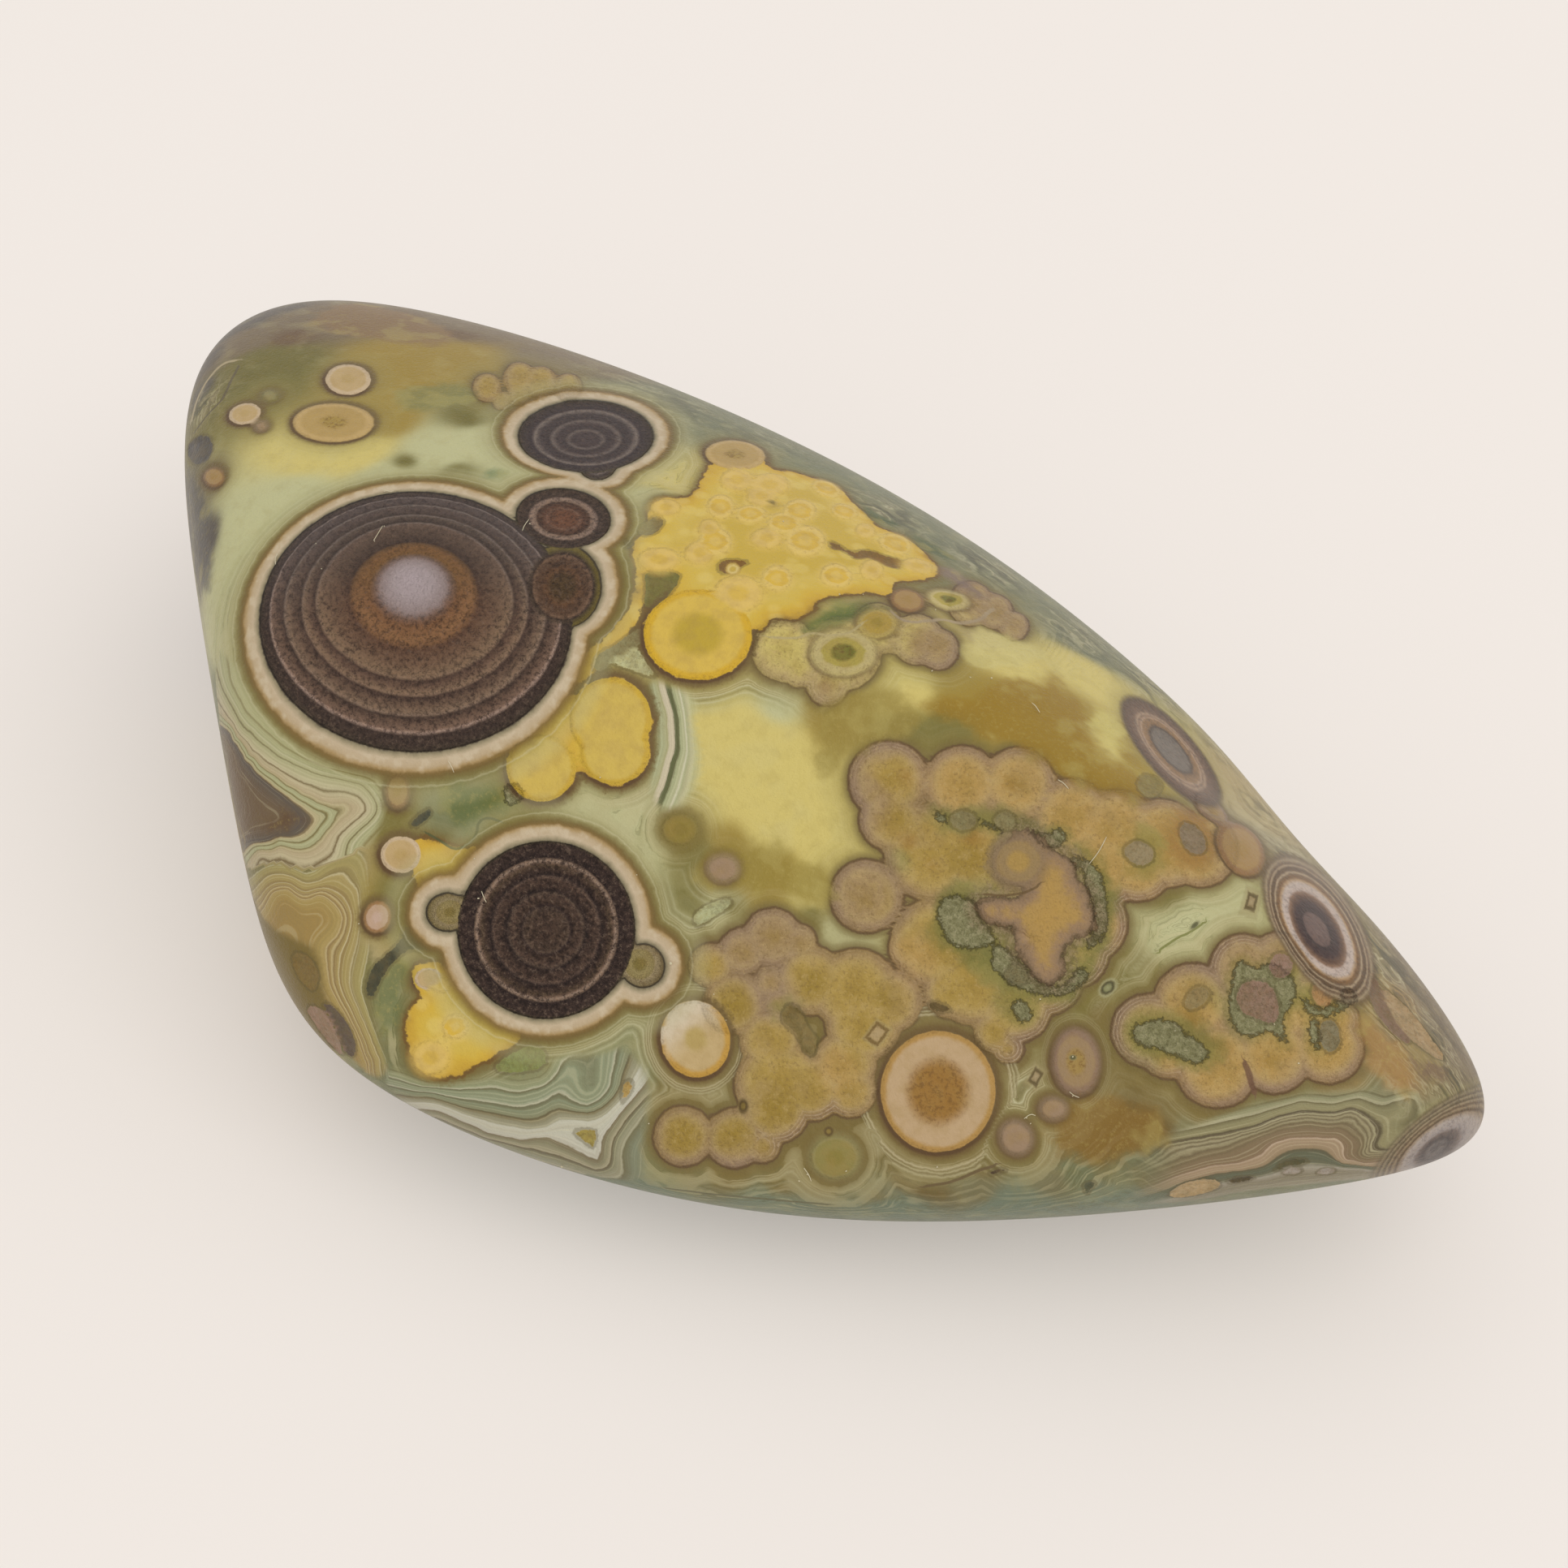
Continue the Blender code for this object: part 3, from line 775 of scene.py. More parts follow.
# The layer lines.
# Fortification bands: thin coloured layers that follow one another between the growths. Each set
# is drawn by a few of its lines, and a smooth surface through them numbers all the layers.
# Each set: the outline that it fills, and its lines by layer number.
LAYERS = {
    "fan": ((262, 790, 300, 830, 350, 902, 410, 940, 474, 954, 474, 1000, 462, 1030, 430, 1062, 380, 1076, 330,
        1066, 308, 1074, 292, 1060, 276, 960), (
        (0, (296, 800, 300, 835, 318, 868, 345, 898, 375, 920, 410, 938, 445, 948, 472, 952)),
        (1, (286, 845, 303, 878, 325, 900, 350, 921, 375, 935, 400, 946, 425, 952, 447, 957, 464, 968)),
        (2, (280, 860, 298, 890, 320, 913, 345, 933, 375, 947, 400, 956, 428, 962, 447, 968, 459, 982, 464, 998,
            455, 1012, 440, 1025, 428, 1040, 425, 1056)),
        (3, (272, 870, 290, 898, 310, 922, 335, 942, 360, 958, 385, 968, 410, 975, 432, 978, 443, 983, 451, 998,
            442, 1008, 426, 1022, 414, 1040, 411, 1050, 396, 1062, 378, 1071, 356, 1064, 334, 1062, 316, 1068)),
        (4, (276, 886, 290, 910, 305, 932, 330, 952, 352, 968, 372, 980, 392, 990, 407, 996, 420, 997, 412,
            1008, 400, 1025, 390, 1038, 372, 1046, 345, 1041, 320, 1046, 306, 1060)),
        (5, (282, 897, 297, 922, 318, 948, 340, 966, 360, 979, 378, 990, 398, 1000, 405, 1003, 398, 1014, 388,
            1028, 372, 1038, 345, 1035, 318, 1042, 303, 1054)),
        (6, (284, 903, 300, 930, 322, 957, 345, 975, 365, 991, 384, 1010, 376, 1022, 350, 1032, 320, 1039, 300,
            1050)),
        (8, (292, 950, 316, 985, 342, 1008, 310, 1018)),
    )),
    "face": ((300, 1074, 316, 1066, 335, 1060, 355, 1062, 378, 1072, 400, 1058, 424, 1052, 446, 1040, 452, 1080,
        440, 1150, 462, 1176, 462, 1240, 480, 1320, 460, 1330, 430, 1300, 400, 1232, 392, 1170, 360, 1156, 330,
        1140, 312, 1108), (
        (0, (395, 1136, 350, 1114, 366, 1126)),
        (1, (326, 1118, 336, 1100, 356, 1096, 372, 1108, 392, 1102, 410, 1112, 422, 1130, 416, 1152, 403, 1166,
            403, 1186, 406, 1210, 412, 1226, 425, 1248, 440, 1278, 452, 1312)),
        (2, (320, 1106, 332, 1092, 350, 1088, 364, 1094, 380, 1099, 396, 1094, 412, 1098, 430, 1118, 432, 1142,
            424, 1166, 418, 1190, 419, 1215, 430, 1240, 446, 1276, 459, 1315)),
        (3, (316, 1094, 328, 1081, 348, 1077, 362, 1081, 376, 1088, 392, 1086, 404, 1080, 420, 1076, 440, 1096,
            444, 1130, 440, 1160, 434, 1182, 430, 1206, 434, 1226, 450, 1262, 468, 1305)),
        (4, (312, 1080, 325, 1070, 345, 1066, 360, 1070, 377, 1077, 392, 1070, 404, 1062, 417, 1056, 437, 1048,
            452, 1070, 456, 1130, 454, 1172, 448, 1200, 446, 1226, 458, 1262, 476, 1310)),
    )),
    "waves": ((486, 1312, 500, 1326, 540, 1336, 600, 1328, 640, 1332, 672, 1326, 684, 1300, 740, 1300, 770,
        1290, 800, 1330, 796, 1380, 790, 1420, 796, 1458, 720, 1448, 640, 1426, 560, 1396, 500, 1362, 470,
        1330), (
        (0, (500, 1322, 530, 1333, 560, 1331, 590, 1328, 604, 1322, 640, 1330, 668, 1324, 680, 1306)),
        (1, (515, 1338, 560, 1342, 600, 1340, 640, 1345, 668, 1338, 684, 1324, 692, 1308)),
        (2, (525, 1345, 560, 1352, 600, 1358, 640, 1364, 668, 1358, 686, 1347, 700, 1352, 720, 1362, 742, 1352,
            752, 1335, 757, 1312)),
        (3, (530, 1352, 565, 1363, 600, 1370, 640, 1378, 662, 1378, 686, 1366, 700, 1368, 722, 1371, 745, 1362,
            760, 1345, 766, 1325, 775, 1300)),
        (4, (545, 1362, 580, 1376, 620, 1386, 655, 1392, 672, 1390, 690, 1380, 715, 1380, 738, 1378, 756, 1364,
            772, 1346, 786, 1320)),
        (5, (600, 1396, 640, 1404, 672, 1399, 700, 1411, 736, 1429, 742, 1402, 760, 1376, 780, 1352)),
        (6, (560, 1386, 600, 1402, 650, 1414, 690, 1424, 735, 1441, 750, 1434, 756, 1402, 772, 1378, 790,
            1358)),
        (7, (548, 1390, 610, 1413, 670, 1432, 730, 1450, 764, 1452, 766, 1425, 775, 1400, 797, 1370)),
    )),
    "arch": ((1380, 1442, 1430, 1404, 1500, 1376, 1560, 1356, 1610, 1346, 1680, 1342, 1745, 1342, 1754, 1366,
        1730, 1400, 1712, 1424, 1700, 1450, 1640, 1456, 1540, 1466, 1470, 1480, 1390, 1486), (
        (-2, (1500, 1370, 1560, 1357, 1610, 1347, 1650, 1349, 1680, 1343, 1710, 1350, 1745, 1341)),
        (-1, (1450, 1395, 1500, 1384, 1550, 1372, 1600, 1357, 1640, 1360, 1672, 1353, 1700, 1361, 1735, 1352,
            1748, 1366, 1738, 1388)),
        (0, (1385, 1440, 1410, 1428, 1440, 1408, 1470, 1402, 1510, 1396, 1545, 1388, 1575, 1376, 1605, 1369,
            1635, 1371, 1660, 1366, 1685, 1376, 1700, 1396, 1706, 1418)),
        (1, (1385, 1462, 1420, 1448, 1450, 1438, 1485, 1427, 1515, 1420, 1550, 1404, 1580, 1393, 1610, 1389,
            1640, 1392, 1662, 1398, 1675, 1412, 1680, 1430)),
        (2, (1390, 1472, 1425, 1460, 1455, 1448, 1490, 1438, 1525, 1434, 1552, 1425, 1568, 1410, 1590, 1403,
            1620, 1402, 1645, 1403, 1656, 1414, 1658, 1430)),
        (3, (1395, 1479, 1430, 1468, 1460, 1456, 1500, 1446, 1540, 1441, 1562, 1434, 1580, 1422, 1600, 1416,
            1620, 1416, 1634, 1420)),
        (4, (1440, 1478, 1480, 1466, 1520, 1455, 1560, 1450, 1590, 1440, 1620, 1438, 1650, 1438, 1680, 1440)),
        (5, (1480, 1478, 1540, 1465, 1600, 1458, 1650, 1453, 1700, 1448)),
    )),
    "stripe": ((800, 838, 830, 846, 860, 862, 850, 890, 866, 940, 846, 990, 812, 1000, 800, 960, 808, 900, 796,
        862), (
        (0, (800, 850, 806, 880, 806, 920, 796, 962, 790, 984)),
        (1, (812, 846, 822, 880, 824, 920, 812, 965, 800, 992)),
        (2, (828, 852, 836, 884, 838, 920, 828, 960, 814, 996)),
        (3, (846, 868, 850, 900, 852, 930, 844, 970, 832, 1000)),
    )),
}
LAYER_STEP_PX = 14.0
LAYER_GIVE = 0.002


def layer_surface(lines, pixels):
    """The layer number at pixels: the thin-plate surface, a plane plus a sum of r^2 log r terms,
    that runs through all drawn lines at their own numbers."""
    at, number = [], []
    for value, points in lines:
        points = np.reshape(points, (-1, 2)).astype(float)
        for a, b in zip(points[:-1], points[1:]):
            count = max(1, int(np.linalg.norm(b - a) / LAYER_STEP_PX))
            at.extend(a + (b - a) * k / count for k in range(count))
            number.extend([value] * count)
        at.append(points[-1])
        number.append(value)
    at, number = np.array(at) / 100.0, np.array(number, float)

    def bend(p, q):
        r2 = ((p[:, None] - q[None]) ** 2).sum(-1)
        return 0.5 * r2 * np.log(r2 + 1e-12)

    plane = np.column_stack([np.ones(len(at)), at])
    stiff = bend(at, at) + LAYER_GIVE * np.eye(len(at))
    system = np.block([[stiff, plane], [plane.T, np.zeros((3, 3))]])
    weights = np.linalg.solve(system, np.concatenate([number, np.zeros(3)]))
    p = pixels / 100.0
    return bend(p, at) @ weights[:-3] + np.column_stack([np.ones(len(p)), p]) @ weights[-3:]


layer_number = np.zeros(len(skin))
layer_gate = {name: np.zeros(len(skin)) for name in LAYERS}
layer_depth = nothing
for name, (outline, lines) in LAYERS.items():
    depth = area(outline, 1)
    inside = (depth > -0.3) & (depth > layer_depth)
    layer_number[inside] = layer_surface(lines, skin_px[inside])
    for other in layer_gate.values():
        other[inside] = 0.0
    layer_gate[name][inside] = step_up(depth[inside], -0.12, 0.12)
    layer_depth = np.maximum(depth, layer_depth)

layer_gate["arch"] *= step_up(skin_px[:, 0], 1375, 1475)
for gate in layer_gate.values():
    gate *= step_up(faced, 0.0, 0.06)

# Single lines: pale halo lines about the orbs and borders, and thin dark seams.
# Each line: its colour, its half width in mm and its points.
SEAMS = {
    "shoulder_line": ((186, 170, 122), 0.04, (946, 786, 984, 789, 1000, 778, 1020, 786, 1046, 783, 1062, 770)),
    "shoulder_line_2": ((170, 152, 124), 0.06, (1098, 755, 1118, 769, 1142, 767, 1160, 762, 1182, 769, 1206,
        766, 1222, 752)),
    "squiggle": ((84, 88, 54), 0.035, (528, 1028, 546, 1038, 560, 1048, 576, 1042, 588, 1028, 588, 1014, 600,
        1006, 616, 1012)),
    "star_crack": ((112, 90, 58), 0.03, (1212, 1102, 1236, 1104, 1262, 1101, 1280, 1092)),
    "crust_crack": ((116, 86, 66), 0.07, (1534, 1310, 1539, 1322, 1545, 1346)),
    "mint_line": ((120, 122, 62), 0.03, (1430, 1170, 1446, 1158, 1464, 1150, 1482, 1138)),
    "foot_seam": ((106, 88, 60), 0.04, (1140, 1462, 1176, 1456, 1206, 1442, 1226, 1436)),
    "cut_ring": ((178, 162, 128), 0.07, (236, 518, 243, 490, 258, 464, 276, 446, 292, 444)),
    "cut_ring_dark": ((96, 84, 62), 0.05, (240, 532, 256, 510, 275, 492, 285, 468, 294, 452)),
    "lower_rim": ((108, 104, 76), 0.04, (820, 1464, 880, 1472, 950, 1478, 1020, 1484)),
}
SEAM_REACH_MM = 0.24
seam_place = np.full(len(skin), 9.0)
seam_tone = np.zeros((len(skin), 3))
seam_gate = np.zeros(len(skin))
seam_least = np.full(len(skin), FAR_MM)
for tone, half_width, points in SEAMS.values():
    gap, side = off_line(on_skin(rounded(points, False)), False)
    mine = gap < seam_least
    seam_least = np.minimum(gap, seam_least)
    seam_place[mine] = (gap * side / half_width)[mine]
    seam_tone[mine] = srgb(*tone)
    seam_gate[mine] = (1 - step_up(gap, 0.5 * SEAM_REACH_MM, SEAM_REACH_MM))[mine]

# The ground mass.
# Waxy, slightly see-through chalcedony that fills the room between the other growths: mint to
# lime, olive and mustard in soft clouds, with grey haze along the back and a blue-green rim, and
# dark grey painted shade along the left flank and the blunt end.
# Each colour: rows of x, y, size.
GROUND_AND_SHADE_TONES = {
    "mint": ((188, 186, 142), (275, 780, 40, 600, 540, 50, 780, 1010, 50, 960, 870, 34, 845, 905, 16, 1470,
        1150, 60, 1540, 1125, 30, 885, 1125, 30, 830, 880, 12, 730, 985, 24, 545, 560, 50, 805, 610, 26, 1035,
        1145, 26, 300, 640, 22, 480, 590, 40, 360, 620, 40)),
    "lime": ((204, 188, 114), (930, 930, 80, 1010, 1000, 50, 1120, 860, 40, 1340, 830, 40, 1250, 820, 36, 870,
        900, 30, 960, 1010, 50, 1000, 1090, 40, 820, 590, 40, 1360, 920, 26, 440, 555, 40, 380, 560, 30)),
    "mustard": ((156, 132, 54), (500, 450, 55, 1270, 880, 60, 1310, 900, 50, 470, 520, 36, 380, 1120, 60, 1390,
        930, 20, 900, 1040, 26, 1020, 880, 36, 545, 440, 40, 950, 1080, 40, 360, 1090, 50, 1180, 860, 36, 900,
        1060, 30)),
    "olive": ((112, 104, 46), (330, 450, 50, 560, 580, 26, 850, 1130, 40, 1330, 1240, 40, 1400, 1210, 40, 1170,
        892, 40, 500, 1110, 30, 620, 990, 22, 860, 1060, 30, 700, 1290, 30, 1290, 1290, 30, 585, 515, 34, 790,
        750, 30, 500, 570, 20, 1120, 895, 34, 470, 1000, 26, 900, 1120, 20, 1000, 1130, 20, 1440, 1100, 30)),
    "tip_brown": ((160, 128, 84), (1700, 1290, 40, 1660, 1330, 36, 1720, 1240, 36, 1720, 1340, 26)),
    "beige": ((176, 158, 116), (400, 1050, 40, 350, 1060, 30, 440, 960, 40, 340, 1200, 30, 430, 1180, 30, 1540,
        1000, 30, 1100, 760, 24, 1220, 790, 20)),
    "far_edge": ((114, 118, 92), (800, 500, 50, 1060, 620, 40, 1180, 700, 40, 900, 530, 40, 1330, 790, 40, 1250,
        730, 40)),
    "grey_haze": ((120, 104, 80), (400, 390, 60, 300, 420, 40, 560, 400, 44, 1590, 1060, 40, 1690, 1160, 50,
        1780, 1280, 40, 700, 450, 40)),
    "sea_green": ((116, 120, 88), (700, 1390, 50, 560, 1360, 50, 760, 1320, 50, 480, 1290, 36, 1560, 1370, 60,
        1690, 1370, 50, 820, 1440, 40, 1400, 1430, 40, 620, 1330, 40, 270, 860, 30, 560, 1000, 30, 1320, 1440,
        30)),
    "rim_blue": ((116, 126, 106), (640, 1430, 40, 800, 1465, 40, 950, 1482, 40, 1100, 1490, 40, 1250, 1490, 40,
        1380, 1480, 40, 560, 1395, 30, 1680, 1430, 30)),
    "brown_olive": ((112, 92, 46), (1300, 1420, 30, 1260, 1370, 30, 830, 1350, 30, 900, 1440, 30, 1130, 1440,
        40, 1360, 1330, 26, 1440, 1350, 24, 1020, 1400, 36, 780, 1410, 16, 1200, 1430, 30, 990, 1440, 30, 980,
        1260, 20, 1290, 1290, 30, 1240, 1330, 30, 1350, 1250, 26, 1100, 1300, 20, 960, 1460, 24, 1480, 1370, 24,
        1380, 1400, 44, 1330, 1400, 30, 1430, 1380, 34, 1420, 1340, 24)),
    # Painted shade: dark grey on the steep left flank and the blunt end, where the light falls least.
    "painted_shade": ((88, 80, 72), (236, 620, 16, 246, 690, 16, 258, 660, 14, 252, 600, 14, 300, 400, 34, 262, 440,
        26, 340, 375, 30, 250, 480, 14)),
    "brown_haze": ((108, 84, 56), (420, 385, 34, 500, 395, 30, 360, 415, 26, 430, 400, 20, 560, 410, 24)),
    "low_grey": ((122, 116, 84), (1300, 1450, 24, 1400, 1435, 30, 1200, 1465, 24, 1080, 1470, 24, 850, 1450, 24,
        1460, 1390, 20, 1560, 1375, 24)),
}
CRUST_TONES = {
    "orange_beige": ((186, 152, 92), (1180, 970, 46, 1250, 990, 46, 1330, 1010, 60, 1400, 1010, 50, 1380, 1090,
        40, 1500, 1320, 50, 1560, 1300, 36, 1460, 1290, 30, 1620, 1260, 30, 1120, 1180, 40, 1440, 1030, 40,
        1280, 1000, 40, 1490, 1270, 26, 1030, 1310, 24)),
    "khaki": ((176, 150, 78), (1150, 1050, 40, 1000, 1180, 36, 1060, 1210, 50, 1060, 1270, 40, 960, 1320, 44,
        877, 1187, 20, 1100, 950, 26, 1190, 1220, 50, 650, 475, 60, 1200, 1270, 40, 1120, 1130, 40, 930, 1290,
        24)),
    "golden_olive": ((152, 128, 52), (905, 1240, 26, 905, 1402, 20, 842, 1402, 16, 1130, 1000, 24, 1000, 1205,
        24, 1090, 1225, 24, 955, 1345, 34, 1180, 1180, 24, 965, 1365, 20, 1180, 1060, 24)),
    "mauve_beige": ((158, 134, 106), (1070, 980, 26, 1070, 1104, 30, 952, 1152, 34, 920, 1165, 24, 1145, 797,
        24, 1210, 735, 24, 1540, 1180, 30, 1018, 846, 16, 950, 1215, 30, 905, 1440, 20, 1480, 1040, 20, 1090,
        925, 20, 985, 1160, 20, 965, 1240, 16)),
    "pale_shoulder": ((218, 204, 124), (960, 800, 50, 1010, 790, 44, 1040, 820, 46, 1080, 775, 36, 985, 826,
        36)),
    "golden_brown": ((150, 112, 46), (1250, 972, 18, 1122, 1037, 13, 1150, 1063, 14, 1195, 1030, 12, 1200, 1170,
        14, 1305, 1018, 12, 1500, 1300, 24, 1440, 1285, 16, 1470, 1262, 14, 1560, 1305, 16, 1112, 955, 12, 1340,
        1000, 10)),
    "moss_olive": ((130, 130, 72), (1200, 1120, 30, 1230, 1180, 30, 1340, 1180, 22, 1330, 1080, 22, 1250, 1030,
        22, 1410, 1290, 26, 1530, 1250, 30, 1240, 1230, 26, 1600, 1220, 24, 1110, 1060, 14)),
}


MM_PER_PX = AIM_DISTANCE_MM / FOCAL_PX


def clouds(tones, sharpness=3.0):
    """A soft colour cloud: the mean of all tones, each weighted by 1 / (0.15 + (distance / size)^2)
    to a power, with the straight distance from its place in mm."""
    total = np.zeros((len(skin), 3))
    weight = np.zeros(len(skin))
    for tone, places in tones.values():
        places = np.reshape(places, (-1, 3))
        for spot, size in zip(on_skin(places[:, :2]), places[:, 2]):
            size_mm = size * MM_PER_PX
            pull = 1 / (0.15 + ((skin - spot) ** 2).sum(1) / size_mm ** 2) ** sharpness
            total += pull[:, None] * np.array(srgb(*tone))
            weight += pull
    return total / weight[:, None]


ground_and_shade_tone = clouds(GROUND_AND_SHADE_TONES)
crust_tone = clouds(CRUST_TONES)


def presence(places, least=0.0):
    """How strongly a marking shows: strength * exp(-(distance / size)^2 / 2) about each place, and
    the greatest of these."""
    found = np.full(len(skin), least)
    places = np.reshape(places, (-1, 4))
    for spot, (size, strength) in zip(on_skin(places[:, :2]), places[:, 2:]):
        size_mm = size * MM_PER_PX
        found = np.maximum(found, strength * np.exp(-0.5 * ((skin - spot) ** 2).sum(1) / size_mm ** 2))
    return found


# Rows of x, y, size, strength: fine bands, halo lines, streaks, growth lines and mauve rims.
BAND_PLACES = (480, 1270, 50, 0.8, 770, 1000, 50, 0.5, 1000, 1480, 200, 0.5, 1560, 1020, 60, 0.6, 1450, 1160,
    60, 0.5, 280, 800, 50, 0.5, 850, 1440, 60, 0.6, 1340, 1450, 60, 0.6, 820, 590, 40, 0.5, 1300, 790, 40, 0.4)
HALO_PLACES = (800, 850, 40, 0.9, 860, 860, 50, 0.9, 920, 840, 40, 0.8, 830, 900, 40, 0.7, 820, 980, 40, 0.6,
    1240, 1350, 60, 1.0, 1160, 1445, 50, 0.6, 1080, 1400, 40, 0.3, 840, 1180, 60, 0.9, 740, 1290, 80, 0.9, 630,
    1300, 50, 0.6, 270, 720, 60, 0.6, 290, 850, 40, 0.5, 350, 620, 60, 0.4, 880, 1330, 40, 0.4, 1300, 1290, 30,
    0.25, 1400, 1210, 40, 0.4, 1500, 1120, 40, 0.35, 1030, 1430, 40, 0.5, 1680, 1330, 40, 0.5, 1540, 1370, 60,
    0.5, 840, 560, 40, 0.5, 600, 590, 60, 0.3, 1130, 830, 40, 0.3, 960, 1460, 60, 0.4)
STREAK_PLACES = (1690, 1180, 60, 1.0, 1610, 1070, 50, 1.0, 1750, 1280, 50, 1.0, 1790, 1330, 30, 0.8, 1560, 1000,
    30, 0.6, 1330, 780, 40, 0.8, 1220, 700, 40, 0.9, 1090, 630, 40, 0.9, 235, 640, 30, 0.9, 245, 720, 30, 0.8,
    800, 490, 60, 0.7, 1420, 850, 40, 0.8, 1500, 920, 30, 0.7, 940, 540, 40, 0.5, 250, 500, 30, 0.8)
banding = presence(BAND_PLACES, 0.03)
haloed = presence(HALO_PLACES, 0.05)
streaking = presence(STREAK_PLACES)
streaking = np.where(faced < 0.1, np.maximum(streaking, 0.3), streaking)
streaking *= 1 - 0.65 * step_up(-faced, 0.1, 0.4)
LINED_PLACES = (1390, 1130, 36, 1.0, 1360, 1200, 30, 1.0, 1310, 1245, 30, 1.0, 1260, 1295, 26, 1.0, 1395, 1262,
    24, 1.0, 1015, 1362, 20, 1.0, 985, 1398, 20, 1.0, 950, 1402, 16, 0.8, 1650, 1250, 22, 0.8, 1520, 1172, 24,
    0.9, 1092, 935, 30, 0.5, 1280, 935, 30, 0.5, 1470, 1300, 30, 0.6, 1010, 850, 30, 0.4, 1130, 790, 40, 0.4)
lined = presence(LINED_PLACES, 0.15)

MAUVE_PLACES = (1070, 980, 40, 1.0, 1100, 935, 36, 1.0, 1185, 925, 36, 0.9, 1255, 925, 32, 0.8, 1320, 965, 36,
    0.8, 1400, 985, 36, 0.8, 1480, 1000, 36, 0.9, 1540, 1080, 26, 0.9, 1070, 1104, 46, 1.0, 950, 1150, 28, 1.0,
    900, 1165, 26, 0.9, 960, 1215, 30, 0.9, 905, 1440, 26, 0.9, 842, 1430, 24, 0.8, 1380, 1130, 36, 0.9, 1340,
    1220, 36, 0.9, 1270, 1290, 30, 0.9, 1150, 1165, 26, 0.6, 1400, 1260, 36, 1.0, 1480, 1190, 36, 1.0, 1570,
    1350, 50, 1.0, 1660, 1300, 36, 1.0, 1500, 1350, 36, 1.0, 1156, 802, 30, 1.0, 1020, 850, 18, 1.0, 1205, 744,
    24, 1.0)
mauve = presence(MAUVE_PLACES, 0.45)
MAUVELESS_PLACES = (970, 800, 40, 1.0, 1010, 800, 36, 1.0, 1055, 800, 36, 1.0, 640, 474, 50, 0.6)
mauve *= 1 - 0.95 * presence(MAUVELESS_PLACES)

# Round seats at the left flank that the ground mass's halo also follows: x, y, radius.
SEATS = ((348, 1140, 78), (400, 1130, 36), (395, 1230, 60))
seated = nothing
for x, y, r in SEATS:
    seated = joined(rings(x, y, r, r)[1], seated, 0.3)
BORDER_MM = 0.48
FILLET_MM = 0.3
filled = bordered + BORDER_MM
for grown in (crust_in, orb_in, gold_in, seated, eye_in["slope"], eye_in["right"], eye_in["tip"]):
    filled = joined(grown, filled, FILLET_MM)
growth = -filled

# The hidden sides.
# Behind and below, the stone goes on in the same way, with eyes, orbs, crust and yellow masses
# of its own. Their places are drawn by lot from the corners that the photograph does not show.
lot = np.random.default_rng(4)
seen = skin[faced > -0.02]
unseen = skin[faced < -0.2]
taken = []


def hidden_spot(radius_mm):
    """A free place on the unseen skin, clear of the seen side and of the places already taken."""
    for _ in range(400):
        spot = unseen[lot.integers(len(unseen))]
        clear = np.sqrt(((seen - spot) ** 2).sum(1).min()) > radius_mm
        if clear and all(np.linalg.norm(spot - other) > 0.85 * (radius_mm + size) for other, size in taken):
            taken.append((spot, radius_mm))
            return spot
    return None


def ball_rings(spot, radius_mm):
    """The ring number about a place, distance over radius, and the depth inside the radius."""
    away = np.linalg.norm(skin - spot, axis=1)
    return away / radius_mm, radius_mm - away


HIDDEN_EYES_MM = (2.3, 1.9, 1.5, 1.2)
HIDDEN_CRUSTS_MM = (3.2, 2.6, 2.8, 2.0, 2.4)
HIDDEN_GOLDS_MM = (1.9, 1.4, 1.6)
HIDDEN_ORBS = ("gold_olive", "cream", "amber_ring", "gold", "egg", "honey", "cream", "rose", "gold", "brown",
               "mauve", "egg", "cream", "gold_olive", "amber_ring", "honey", "pale_ring", "gold")
for radius_mm in HIDDEN_EYES_MM:
    spot = hidden_spot(radius_mm + 0.5)
    if spot is not None:
        s, depth = ball_rings(spot, radius_mm)
        eye_s["lower"] = np.minimum(eye_s["lower"], s)
        bordered = joined(depth, bordered, 0.06)
for radius_mm in HIDDEN_CRUSTS_MM:
    spot = hidden_spot(radius_mm)
    if spot is not None:
        near = skin[np.linalg.norm(skin - spot, axis=1) < 0.75 * radius_mm]
        for centre in near[lot.integers(len(near), size=11)]:
            s, depth = ball_rings(centre, lot.uniform(0.5, 1.1))
            crust_in = joined(depth, crust_in, 0.05)
            dome_s = np.minimum(dome_s, s)
for radius_mm in HIDDEN_GOLDS_MM:
    spot = hidden_spot(radius_mm)
    if spot is not None:
        near = skin[np.linalg.norm(skin - spot, axis=1) < 0.6 * radius_mm]
        for centre in near[lot.integers(len(near), size=7)]:
            s, depth = ball_rings(centre, lot.uniform(0.4, 0.8))
            gold_in = joined(depth, gold_in, 0.1)
for tone in HIDDEN_ORBS:
    radius_mm = lot.uniform(0.4, 1.2)
    spot = hidden_spot(radius_mm)
    if spot is not None:
        add_orb(*ball_rings(spot, radius_mm), tone)
hidden_growth = -np.maximum.reduce([bordered + BORDER_MM, crust_in, orb_in, gold_in])
growth = np.where(faced < -0.1, hidden_growth, growth)

# The finished skin.
# The ridges of the eyes, the domes of the crust and the pits of the moss stand a few hundredths
# of a millimetre out of the worn face or lie as deep in it.
RIDGE_MM = 0.035


def ridge(s, crest, rise, fall):
    """A ridge along a ring: it rises over one width to the crest and falls over another."""
    return step_up(s, crest - rise, crest) * (1 - step_up(s, crest, crest + fall))


